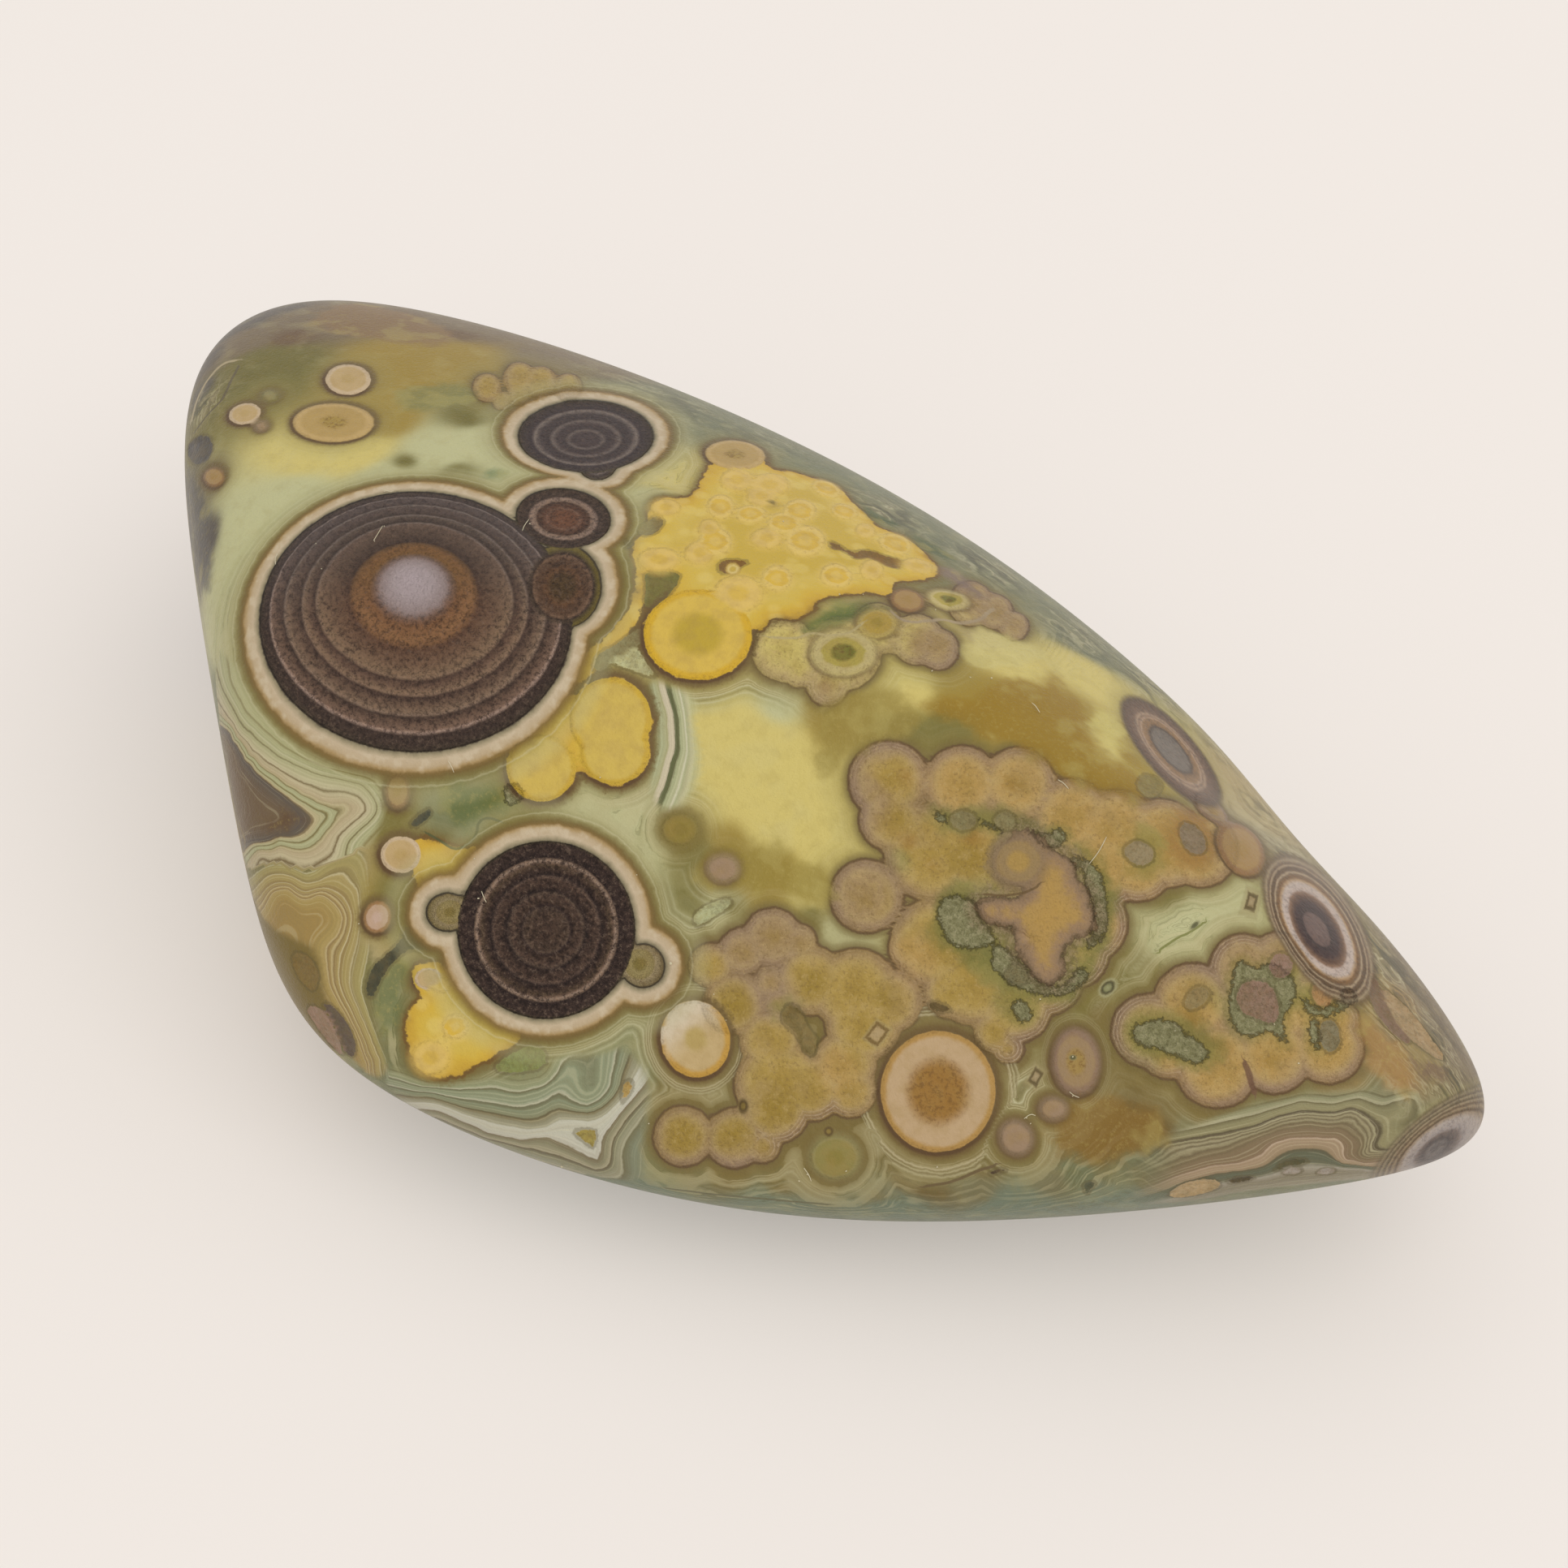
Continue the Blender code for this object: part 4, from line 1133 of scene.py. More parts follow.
GREAT_CRESTS = (0.585, 0.675, 0.79, 0.895)
LOWER_CRESTS = (0.27, 0.43, 0.61, 0.79)
relief = np.zeros(len(skin))
for crest in GREAT_CRESTS:
    relief += RIDGE_MM * ridge(eye_s["great"], crest, 0.09, 0.025)
for crest in LOWER_CRESTS:
    relief += RIDGE_MM * ridge(eye_s["lower"], crest, 0.12, 0.04)
for depth, height_mm, width_mm in ((crust_in, 0.045, 0.25), (orb_in, 0.03, 0.15), (star_in, 0.03, 0.15),
                                   (moss_in, -0.05, 0.12), (patch_in, -0.05, 0.15), (bordered, -0.03, 0.05)):
    relief += height_mm * step_up(depth, 0.0, width_mm)
skin = skin + out * relief[:, None]
skin[:, 2] = np.maximum(skin[:, 2], 0.0)

stone = grid_object("agate_pebble_skin", skin, faces)
stone.data.shade_smooth()


def store(name, columns):
    """Puts three or four columns of numbers into the mesh, one row for each corner."""
    values = np.column_stack(columns).astype(np.float32)
    kind = "FLOAT_VECTOR" if values.shape[1] == 3 else "FLOAT_COLOR"
    field = "vector" if values.shape[1] == 3 else "color"
    stone.data.attributes.new(name, kind, "POINT").data.foreach_set(field, values.ravel())


store("ground_and_shade_tone", [ground_and_shade_tone, banding])
store("shares", [haloed, mauve, orb_stroked, orb_ringed])
store("stain_and_shade", [stain_and_shade_tone, stain_and_shade_in])
store("crust_tone", [crust_tone, streaking])
store("orb_rim", [orb_rim, orb_shaded_side])
store("orb_mid", [orb_mid, great_low])
store("orb_core", [orb_core, orb_crisp])
store("patch_tone", [patch_tone, layer_gate["stripe"]])
store("seam_tone", [seam_tone, seam_gate])
store("masses", [crust_in, gold_in, moss_in])
store("balls", [orb_in, orb_s, bordered])
store("room", [growth, patch_in, dome_s])
store("eyes_a", [eye_s["great"], eye_s["upper"], eye_s["lower"]])
store("eyes_b", [eye_s["small"], eye_s["slope"], eye_s["right"]])
store("eyes_c", [eye_s["tip"], eye_s["brown_lobe"], eye_s["upper_foot"]])
store("layers_a", [layer_number, layer_gate["fan"], layer_gate["face"]])
store("layers_b", [layer_gate["waves"], layer_gate["arch"], seam_place])
store("turned", [star_in, faced, lined])

# The agate's finish.
# Satin to waxy polish by the wind: smooth over the clear chalcedony, velvety in the eyes and the
# khaki clouds, and rough in the moss.
agate = bpy.data.materials.new("worn_agate")
agate.use_nodes = True
tree = agate.node_tree
shader = tree.nodes["Principled BSDF"]


def put(node, index, value):
    """Links a socket to an input or sets a plain value on it."""
    if isinstance(value, bpy.types.NodeSocket):
        tree.links.new(value, node.inputs[index])
    elif value is not None:
        node.inputs[index].default_value = value


def calc(kind, *values):
    """A Math node and its result."""
    node = tree.nodes.new("ShaderNodeMath")
    node.operation = kind
    for index, value in enumerate(values):
        put(node, index, value)
    return node.outputs[0]


def add(a, b):
    """a + b."""
    return calc("ADD", a, b)


def times(a, b):
    """a * b."""
    return calc("MULTIPLY", a, b)


def off(value, middle):
    """The distance of a value from a middle value."""
    return calc("ABSOLUTE", calc("SUBTRACT", value, middle))


def soft(value, low, high, to_low=0.0, to_high=1.0):
    """A smooth step from one value to another as the first goes from low to high."""
    node = tree.nodes.new("ShaderNodeMapRange")
    node.interpolation_type = "SMOOTHSTEP"
    for index, v in enumerate((value, low, high, to_low, to_high)):
        put(node, index, v)
    return node.outputs[0]


def blend(amount, under, over, kind="MIX"):
    """One colour over another."""
    node = tree.nodes.new("ShaderNodeMix")
    node.data_type = "RGBA"
    node.blend_type = kind
    put(node, 0, amount)
    for index, v in ((6, under), (7, over)):
        put(node, index, v if isinstance(v, bpy.types.NodeSocket) else (*v, 1.0))
    return node.outputs[2]


def tint(under, value, low, high, cover, tone, mask=None):
    """A display colour laid over another, up to a cover, as a value goes from low to high; a mask
    takes a share of it."""
    amount = soft(value, low, high, 0.0, cover)
    return blend(amount if mask is None else times(amount, mask), under, srgb(*tone))


def edge_line(under, value, middle, low, high, cover, tone, mask=None):
    """A display colour laid along the line where a value is near its middle; it fades from its
    full cover to none as the distance from the middle goes from low to high."""
    amount = soft(off(value, middle), low, high, cover, 0.0)
    return blend(amount if mask is None else times(amount, mask), under, srgb(*tone))


def ladder(value, stops):
    """A colour ramp over (place, display colour, cover) stops, where the cover is 1 if it isn't
    given; gives its colour and its cover."""
    low, high = stops[0][0], stops[-1][0]
    scaled = tree.nodes.new("ShaderNodeMapRange")
    for index, v in enumerate((value, low, high, 0.0, 1.0)):
        put(scaled, index, v)
    node = tree.nodes.new("ShaderNodeValToRGB")
    elements = node.color_ramp.elements
    while len(elements) < len(stops):
        elements.new(0.5)
    elements.foreach_set("position", [(stop[0] - low) / (high - low) for stop in stops])
    colours = [(*srgb(*tone), *(cover or [1])) for _, tone, *cover in stops]
    elements.foreach_set("color", np.ravel(colours))
    tree.links.new(scaled.outputs[0], node.inputs[0])
    return node.outputs[0], node.outputs[1]


def grain(scale, detail, rough):
    """Noise of so many lumps a millimetre."""
    node = tree.nodes.new("ShaderNodeTexNoise")
    node.inputs["Scale"].default_value = scale
    node.inputs["Detail"].default_value = detail
    node.inputs["Roughness"].default_value = rough
    tree.links.new(in_mm, node.inputs["Vector"])
    return node.outputs[0]


def uneven(value, coarse, small):
    """A value made uneven: value + coarse * wobble + small * fine, the two noises set up below."""
    return add(value, add(times(wobble, coarse), times(fine, small)))


def drawn_out(across, per_unit, along, detail=2.0):
    """Noise drawn out into streaks: fine in the first value, slow in the second."""
    place = tree.nodes.new("ShaderNodeCombineXYZ")
    put(place, 0, times(across, per_unit))
    put(place, 1, along)
    node = tree.nodes.new("ShaderNodeTexNoise")
    node.noise_dimensions = "2D"
    node.inputs["Scale"].default_value = 1.0
    node.inputs["Detail"].default_value = detail
    tree.links.new(place.outputs[0], node.inputs["Vector"])
    return node.outputs[0]


def stored(name):
    """The mesh's own numbers: colour, vector and fourth value."""
    node = tree.nodes.new("ShaderNodeAttribute")
    node.attribute_name = name
    return node


def parts(name):
    """The three numbers of a stored row."""
    node = tree.nodes.new("ShaderNodeSeparateXYZ")
    tree.links.new(stored(name).outputs["Vector"], node.inputs[0])
    return node.outputs[0], node.outputs[1], node.outputs[2]


place = tree.nodes.new("ShaderNodeTexCoord")
to_mm = tree.nodes.new("ShaderNodeMapping")
to_mm.inputs["Scale"].default_value = (1000.0, 1000.0, 1000.0)
tree.links.new(place.outputs["Object"], to_mm.inputs["Vector"])
in_mm = to_mm.outputs["Vector"]

crust_d, gold_d, moss_d = parts("masses")
orb_d, orb_r, border_d = parts("balls")
growth_d, patch_d, dome_r = parts("room")
great_r, upper_r, lower_r = parts("eyes_a")
small_r, slope_r, right_r = parts("eyes_b")
tip_r, lobe_r, foot_r = parts("eyes_c")
layer_n, fan_gate, face_gate = parts("layers_a")
waves_gate, arch_gate, seam_n = parts("layers_b")
star_d, edge_on, lined = parts("turned")
halo_share, mauve_share, orb_strokes = parts("shares")
ground = stored("ground_and_shade_tone")
crust_made = stored("crust_tone")
stripe_gate = stored("patch_tone").outputs["Alpha"]
great_low = stored("orb_mid").outputs["Alpha"]

cloud_noise = grain(0.45, 2.0, 0.55)
mottle = grain(2.6, 2.0, 0.6)
blotch = grain(1.1, 2.0, 0.5)
velvet = grain(8.5, 3.0, 0.75)
wobble_noise = grain(3.4, 2.0, 0.5)
wobble = calc("SUBTRACT", wobble_noise, 0.5)
fine = calc("SUBTRACT", velvet, 0.5)
edge_wobble = add(times(wobble, 0.07), times(fine, 0.05))

# Ground: clouds, the painted shade on the left flank and the blunt end among them, a khaki velvet
# halo about every growth, and faint fine lines that follow it.
colour = ground.outputs["Color"]
colour = tint(colour, mottle, 0.45, 0.72, 0.14, (146, 126, 62))
colour = tint(colour, blotch, 0.5, 0.7, 0.14, (196, 188, 140))
room = add(growth_d, times(wobble, 0.12))
halo, halo_cover = ladder(add(room, times(fine, 0.20)), [
    (-0.1, (116, 100, 54), 0.85), (0.0, (112, 98, 52), 0.85), (0.1, (122, 108, 56), 0.65),
    (0.24, (136, 122, 66), 0.4), (0.45, (150, 138, 80), 0.2), (0.8, (160, 156, 96), 0.0)])
colour = blend(halo_cover, colour, halo)
halo_line, line_cover = ladder(uneven(growth_d, 0.05, 0.03), [
    (0.0, (108, 88, 54), 0.9), (0.13, (126, 108, 66), 0.8), (0.22, (136, 124, 78), 0.7),
    (0.28, (150, 140, 96), 0.8), (0.305, (184, 174, 134), 0.9), (0.33, (138, 126, 82), 0.8),
    (0.36, (180, 172, 132), 0.9), (0.385, (138, 128, 84), 0.8), (0.42, (188, 182, 146)),
    (0.46, (146, 140, 96), 0.8), (0.5, (124, 116, 74), 0.8), (0.54, (156, 152, 110), 0.7),
    (0.58, (184, 180, 144), 0.8), (0.62, (160, 156, 112), 0.6), (0.7, (148, 144, 98), 0.4),
    (0.78, (176, 174, 134), 0.4), (1.0, (176, 174, 134), 0.0)])
colour = blend(times(line_cover, halo_share), colour, halo_line)
layer = drawn_out(room, 6.0, times(cloud_noise, 3.0))
band_amount = times(ground.outputs["Alpha"], soft(room, 0.05, 0.3))
colour = tint(colour, layer, 0.5, 0.62, 1.0, (192, 182, 142), times(band_amount, 0.6))
for level, strength in ((0.47, 0.7), (0.38, 0.5)):
    colour = edge_line(colour, layer, level, 0.008, 0.03, 1.0, (104, 98, 60), times(band_amount, strength))

# Layer lines: each set has its own run of tones over its layer number.
LAYER_TONES = {
    "fan": ((0.0, (150, 144, 96)), (0.25, (178, 176, 134)), (0.8, (182, 180, 138)), (0.95, (124, 114, 70)),
        (1.1, (174, 172, 130)), (1.45, (166, 166, 124)), (1.6, (186, 182, 146)), (1.9, (172, 168, 126)),
        (2.0, (112, 100, 62)), (2.12, (178, 174, 134)), (2.6, (186, 178, 142)), (2.85, (196, 186, 152)),
        (3.0, (118, 100, 66)), (3.12, (188, 176, 142)), (3.6, (184, 168, 134)), (3.92, (176, 164, 124)),
        (4.02, (126, 114, 74)), (4.15, (170, 168, 128)), (4.7, (176, 176, 136)), (4.95, (140, 130, 86)),
        (5.05, (116, 106, 66)), (5.2, (176, 172, 132)), (5.75, (184, 170, 132)), (5.95, (120, 100, 68)),
        (6.1, (98, 86, 74)), (6.6, (94, 84, 78)), (7.2, (102, 88, 76)), (8.0, (112, 92, 70))),
    "face": ((0.0, (160, 134, 78)), (0.6, (168, 146, 88)), (0.9, (172, 150, 96)), (1.0, (188, 170, 126)),
        (1.08, (146, 122, 78)), (1.3, (172, 150, 98)), (1.45, (184, 166, 122)), (1.52, (144, 120, 76)),
        (1.9, (170, 150, 96)), (2.0, (190, 176, 136)), (2.08, (148, 126, 80)), (2.5, (168, 150, 94)),
        (2.9, (170, 152, 100)), (3.0, (192, 180, 140)), (3.1, (142, 126, 80)), (3.5, (164, 150, 96)),
        (3.9, (162, 150, 96)), (4.0, (184, 176, 138)), (4.1, (128, 120, 76))),
    "waves": ((0.0, (150, 148, 106)), (0.1, (116, 112, 76)), (0.3, (154, 154, 118)), (0.8, (146, 150, 116)),
        (0.97, (188, 186, 158)), (1.05, (110, 108, 78)), (1.3, (142, 148, 118)), (1.8, (146, 152, 124)),
        (1.97, (188, 186, 160)), (2.06, (108, 106, 78)), (2.4, (136, 142, 114)), (2.9, (140, 140, 110)),
        (3.0, (100, 92, 66)), (3.15, (130, 120, 88)), (3.5, (150, 146, 120)), (3.9, (168, 164, 140)),
        (4.05, (198, 196, 178)), (4.3, (194, 190, 170)), (4.6, (192, 190, 172)), (5.0, (198, 194, 178)),
        (5.1, (124, 112, 86)), (5.5, (142, 138, 110)), (5.95, (170, 162, 134)), (6.05, (104, 94, 70)),
        (6.4, (140, 138, 110)), (6.95, (164, 160, 134)), (7.05, (116, 112, 84)), (7.6, (132, 136, 112))),
    "arch": ((-2.0, (146, 140, 104)), (-1.9, (112, 106, 74)), (-1.5, (148, 146, 112)), (-1.05, (172, 166, 134)),
        (-0.97, (112, 104, 72)), (-0.6, (144, 138, 102)), (-0.2, (148, 140, 104)), (-0.05, (88, 78, 58)),
        (0.08, (100, 88, 66)), (0.14, (172, 164, 130)), (0.24, (112, 100, 74)), (0.34, (166, 156, 124)),
        (0.44, (110, 98, 72)), (0.55, (158, 148, 116)), (0.66, (112, 98, 72)), (0.8, (140, 126, 96)),
        (0.95, (118, 102, 76)), (1.05, (130, 112, 86)), (1.6, (134, 114, 88)), (1.9, (136, 114, 90)),
        (2.0, (186, 164, 142)), (2.12, (164, 142, 116)), (2.5, (166, 144, 118)), (2.9, (152, 132, 104)),
        (3.0, (100, 94, 72)), (3.3, (98, 102, 82)), (3.8, (106, 106, 86)), (4.0, (166, 160, 144)),
        (4.15, (156, 148, 130)), (4.5, (132, 124, 102)), (5.0, (150, 142, 120))),
    "stripe": ((0.0, (118, 114, 66)), (0.5, (174, 176, 138)), (0.95, (168, 164, 122)), (1.05, (200, 190, 162)),
        (1.5, (202, 190, 164)), (1.6, (90, 96, 60)), (1.95, (96, 98, 62)), (2.1, (168, 172, 132)),
        (2.5, (184, 184, 146)), (2.6, (202, 198, 170)), (2.75, (176, 178, 138)), (3.0, (188, 184, 146)),
        (3.4, (188, 186, 140))),
}
LAYER_GATES = {"fan": fan_gate, "face": face_gate, "waves": waves_gate, "arch": arch_gate,
               "stripe": stripe_gate}
number = uneven(layer_n, 0.16, 0.10)
thin_layers = drawn_out(layer_n, 7.0, times(cloud_noise, 2.0))
for name, stops in LAYER_TONES.items():
    tone, _ = ladder(number, stops)
    tone = tint(tone, thin_layers, 0.35, 0.7, 0.22, (128, 118, 80))
    tone = tint(tone, thin_layers, 0.45, 0.3, 0.25, (196, 188, 152))
    colour = blend(LAYER_GATES[name], colour, tone)

# Streaks: thin layers seen on edge along the stone's far and right-hand flanks.
streak = drawn_out(add(edge_on, times(wobble, 0.05)), 20.0, times(cloud_noise, 7.0), 3.0)
streak_tone, streak_cover = ladder(streak, [
    (0.34, (84, 82, 62), 0.95), (0.41, (100, 94, 70), 0.85), (0.45, (134, 126, 94), 0.5),
    (0.5, (140, 132, 100), 0.3), (0.54, (176, 168, 132), 0.7), (0.57, (192, 184, 152), 0.9),
    (0.6, (150, 136, 106), 0.6), (0.64, (110, 100, 76), 0.8), (0.7, (168, 156, 124), 0.8)])
colour = blend(times(streak_cover, crust_made.outputs["Alpha"]), colour, streak_tone)

# Crust: velvet fringe, mauve rim with pale growth lines, warm inside with soft golden stains.
crust = add(crust_d, edge_wobble)
inside_tone = tint(crust_made.outputs["Color"], mottle, 0.42, 0.7, 0.4, (142, 118, 58))
inside_tone = tint(inside_tone, mottle, 0.5, 0.3, 0.4, (190, 166, 114))
inside_tone = tint(inside_tone, blotch, 0.52, 0.7, 0.3, (164, 142, 110))
dome_line, dome_cover = ladder(uneven(dome_r, 0.22, 0.08), [
    (0.0, (156, 128, 52), 0.5), (0.25, (166, 138, 66), 0.4), (0.5, (180, 152, 88), 0.3),
    (0.68, (190, 166, 110), 0.45), (0.8, (172, 146, 100), 0.45), (0.92, (150, 124, 84), 0.5),
    (1.1, (150, 124, 86), 0.4)])
inside_tone = blend(dome_cover, inside_tone, dome_line)
colour = tint(colour, add(crust, times(fine, 0.30)), -0.22, -0.02, 0.5, (126, 110, 66))
colour = blend(soft(crust, -0.01, 0.03), colour, inside_tone)
rim, rim_cover = ladder(add(crust, times(fine, 0.10)), [
    (-0.05, (110, 88, 56), 0.0), (-0.01, (104, 82, 58), 0.75), (0.02, (128, 104, 80), 0.9),
    (0.07, (150, 126, 102), 0.9), (0.16, (156, 132, 108), 0.8), (0.26, (160, 136, 108), 0.45),
    (0.4, (166, 140, 104), 0.12), (0.55, (166, 140, 104), 0.0)])
colour = blend(times(rim_cover, times(mauve_share, soft(blotch, 0.3, 0.55, 0.65, 1.0))), colour, rim)
colour = edge_line(colour, crust, 0.0, 0.01, 0.05, 0.7, (104, 80, 52), soft(mauve_share, 0.1, 0.5))
growth_line, line_cover = ladder(crust, [
    (0.05, (180, 158, 132), 0.0), (0.07, (190, 168, 142), 0.9), (0.09, (136, 112, 88), 0.6),
    (0.13, (136, 110, 88), 0.5), (0.15, (190, 168, 142), 0.9), (0.17, (136, 112, 88), 0.6),
    (0.21, (140, 114, 88), 0.4), (0.235, (186, 164, 132), 0.8), (0.26, (150, 122, 92), 0.3),
    (0.32, (150, 122, 92), 0.0)])
line_cover = times(times(line_cover, lined), soft(wobble_noise, 0.3, 0.55, 0.5, 1.0))
colour = blend(line_cover, colour, growth_line)
on_crust = soft(crust, 0.0, 0.05)
colour = tint(colour, velvet, 0.54, 0.66, 0.36, (120, 96, 62), on_crust)
colour = tint(colour, velvet, 0.45, 0.34, 0.28, (198, 172, 120), on_crust)

# Yellow masses.
gold = add(gold_d, uneven(edge_wobble, 0.16, 0.08))
gold_tone, _ = ladder(add(gold, times(calc("SUBTRACT", blotch, 0.5), 0.7)), [
    (-0.1, (168, 134, 56)), (0.06, (196, 160, 60)), (0.3, (204, 172, 68)), (0.5, (204, 176, 78)),
    (0.8, (204, 178, 88)), (1.2, (196, 168, 70))])
beads = tree.nodes.new("ShaderNodeTexVoronoi")
beads.inputs["Scale"].default_value = 1.6
tree.links.new(in_mm, beads.inputs["Vector"])
bead = add(beads.outputs[0], times(wobble, 0.15))
gold_tone = blend(soft(bead, 0.24, 0.46, 0.4, 0.0), gold_tone, srgb(218, 196, 116))
colour = tint(colour, add(gold, times(fine, 0.30)), -0.30, -0.03, 0.75, (122, 104, 56))
colour = edge_line(colour, gold, -0.03, 0.02, 0.08, 0.75, (112, 82, 38))
in_gold = soft(gold, -0.02, 0.03)
colour = blend(in_gold, colour, gold_tone)

# Stains, and the painted shade on the left flank.
stain_and_shade = stored("stain_and_shade")
stain_and_shade_d = add(stain_and_shade.outputs["Alpha"], uneven(times(calc("SUBTRACT", blotch, 0.5), 1.1), 0.3, 0.2))
stain_and_shade_colour = tint(stain_and_shade.outputs["Color"], velvet, 0.5, 0.7, 0.35, (176, 158, 92))
stain_and_shade_colour = tint(stain_and_shade_colour, blotch, 0.52, 0.64, 0.35, (178, 164, 96))
colour = blend(soft(stain_and_shade_d, -0.18, 0.30, 0.0, 0.78), colour, stain_and_shade_colour)

# Moss: rough grey-green with pale specks and dark cracks.
moss = add(moss_d, add(times(fine, 0.36), times(wobble, 0.12)))
crackle = grain(6.5, 3.0, 0.85)
moss_tone, _ = ladder(crackle, [
    (0.26, (108, 102, 66)), (0.4, (132, 128, 90)), (0.54, (150, 146, 108)), (0.7, (174, 166, 130))])
colour = tint(colour, moss, -0.30, 0.0, 0.45, (132, 124, 66))
colour = blend(soft(moss, -0.03, 0.05), colour, moss_tone)
colour = edge_line(colour, moss, 0.01, 0.01, 0.06, 0.3, (92, 82, 50))

# Star: a golden body and a mauve arm in a ring of grey-mauve crust with short dark strokes.
star = add(star_d, add(edge_wobble, add(times(fine, 0.26), times(wobble, 0.2))))
star_ring = blend(soft(crackle, 0.4, 0.6), srgb(112, 100, 66), srgb(152, 134, 104))
colour = blend(soft(add(star, times(fine, 0.3)), -0.40, -0.1, 0.0, 0.7), colour, star_ring)
star_tone, _ = ladder(add(star, times(wobble, 0.1)), [
    (-0.03, (82, 68, 44)), (0.03, (118, 98, 72)), (0.12, (146, 122, 96)), (0.26, (160, 132, 98)),
    (0.45, (178, 146, 86)), (0.8, (182, 148, 82))])
star_tone = tint(star_tone, velvet, 0.5, 0.7, 0.4, (146, 120, 80))
colour = blend(soft(star, -0.04, 0.0), colour, star_tone)

# Patches.
patch = add(patch_d, add(edge_wobble, times(fine, 0.08)))
patch_colour = stored("patch_tone").outputs["Color"]
patch_colour = blend(soft(velvet, 0.3, 0.8, 0.0, 0.5), patch_colour, srgb(150, 120, 84), "SOFT_LIGHT")
patch_colour = tint(patch_colour, mottle, 0.35, 0.7, 0.35, (128, 110, 70))
patch_colour = tint(patch_colour, crackle, 0.52, 0.40, 0.3, (96, 86, 54))
colour = edge_line(colour, patch, -0.02, 0.01, 0.06, 0.45, (94, 82, 50))
colour = blend(soft(patch, 0.0, 0.03), colour, patch_colour)

# Orbs: velvet fringe, a painted shadow crescent along the lower side, rim, middle and core.
orb = add(orb_d, times(edge_wobble, 0.8))
ring = uneven(orb_r, 0.08, 0.04)
on_shaded_side = soft(stored("orb_rim").outputs["Alpha"], -0.5, 0.6)
orb_core, orb_mid, orb_rim = (stored(name).outputs["Color"] for name in ("orb_core", "orb_mid", "orb_rim"))
orb_colour = blend(soft(ring, 0.28, 0.52), orb_core, orb_mid)
orb_colour = blend(soft(ring, 0.74, 0.86), orb_colour, orb_rim)
orb_colour = tint(orb_colour, mottle, 0.35, 0.75, 0.3, (160, 132, 76), soft(ring, 0.95, 0.8))
stroke_share = times(orb_strokes, soft(ring, 0.55, 0.3))
orb_colour = tint(orb_colour, velvet, 0.46, 0.64, 0.6, (112, 80, 38), stroke_share)
orb_colour = tint(orb_colour, velvet, 0.52, 0.66, 0.3, (128, 96, 50), soft(ring, 0.7, 0.95))
crisp = stored("orb_core").outputs["Alpha"]
blur = times(calc("SUBTRACT", 1.0, crisp), 0.24)
out_of_gold = calc("SUBTRACT", 1.0, in_gold)
about_orb = times(crisp, times(out_of_gold, soft(orb, 0.02, 0.0)))
colour = tint(colour, add(orb, times(fine, 0.25)), -0.26, -0.05, 0.85, (112, 92, 56), about_orb)
ringed = stored("shares").outputs["Alpha"]
orb_line, orb_line_cover = ladder(ring, [
    (1.0, (106, 84, 48), 0.8), (1.08, (112, 92, 52), 0.8), (1.15, (128, 112, 66), 0.6),
    (1.24, (140, 126, 82), 0.4), (1.28, (182, 170, 134), 0.9), (1.31, (132, 118, 78), 0.6),
    (1.34, (176, 166, 128), 0.9), (1.37, (126, 112, 74), 0.6), (1.41, (172, 162, 124), 0.8),
    (1.45, (130, 118, 76), 0.4), (1.5, (130, 118, 76), 0.0)])
off_crust = soft(crust, 0.06, -0.02)
orb_line_cover = times(times(orb_line_cover, ringed), times(off_crust, soft(ring, 0.99, 1.01)))
colour = blend(orb_line_cover, colour, orb_line)
# Painted shadow: a dark crescent along the lower side of each crisp orb.
shadow_crescent_share = times(times(on_shaded_side, crisp), times(out_of_gold, 0.85))
colour = edge_line(colour, orb, -0.04, 0.02, 0.09, 1.0, (92, 68, 42), shadow_crescent_share)
colour = blend(soft(orb, calc("SUBTRACT", -0.01, blur), add(blur, 0.02)), colour, orb_colour)

# Seams.
seam = stored("seam_tone")
seam_cover = soft(calc("ABSOLUTE", add(seam_n, times(wobble, 1.2))), 0.6, 1.3, 0.85, 0.0)
colour = blend(times(seam_cover, seam.outputs["Alpha"]), colour, seam.outputs["Color"])

# Eyes: the cream border first, then each eye's own rings.
edge = uneven(times(border_d, -1.0), 0.10, 0.05)
cream, cream_cover = ladder(edge, [
    (-0.05, (84, 72, 60), 0.0), (0.0, (98, 88, 70)), (0.04, (134, 124, 98)), (0.1, (166, 152, 124)),
    (0.17, (190, 172, 144)), (0.31, (184, 164, 132)), (0.39, (168, 142, 98)), (0.45, (128, 104, 58), 0.95),
    (0.52, (118, 98, 52), 0.8), (0.62, (128, 116, 66), 0.6), (0.68, (150, 142, 96), 0.5),
    (0.71, (182, 176, 138), 0.6), (0.75, (150, 146, 100), 0.4), (0.84, (172, 168, 126), 0.35),
    (1.0, (178, 176, 136), 0.25), (1.25, (176, 176, 134), 0.0)])
colour = blend(cream_cover, colour, cream)
colour = edge_line(colour, edge, 0.27, 0.05, 0.18, 1.0, (206, 192, 166), soft(mottle, 0.45, 0.65, 0.0, 0.5))


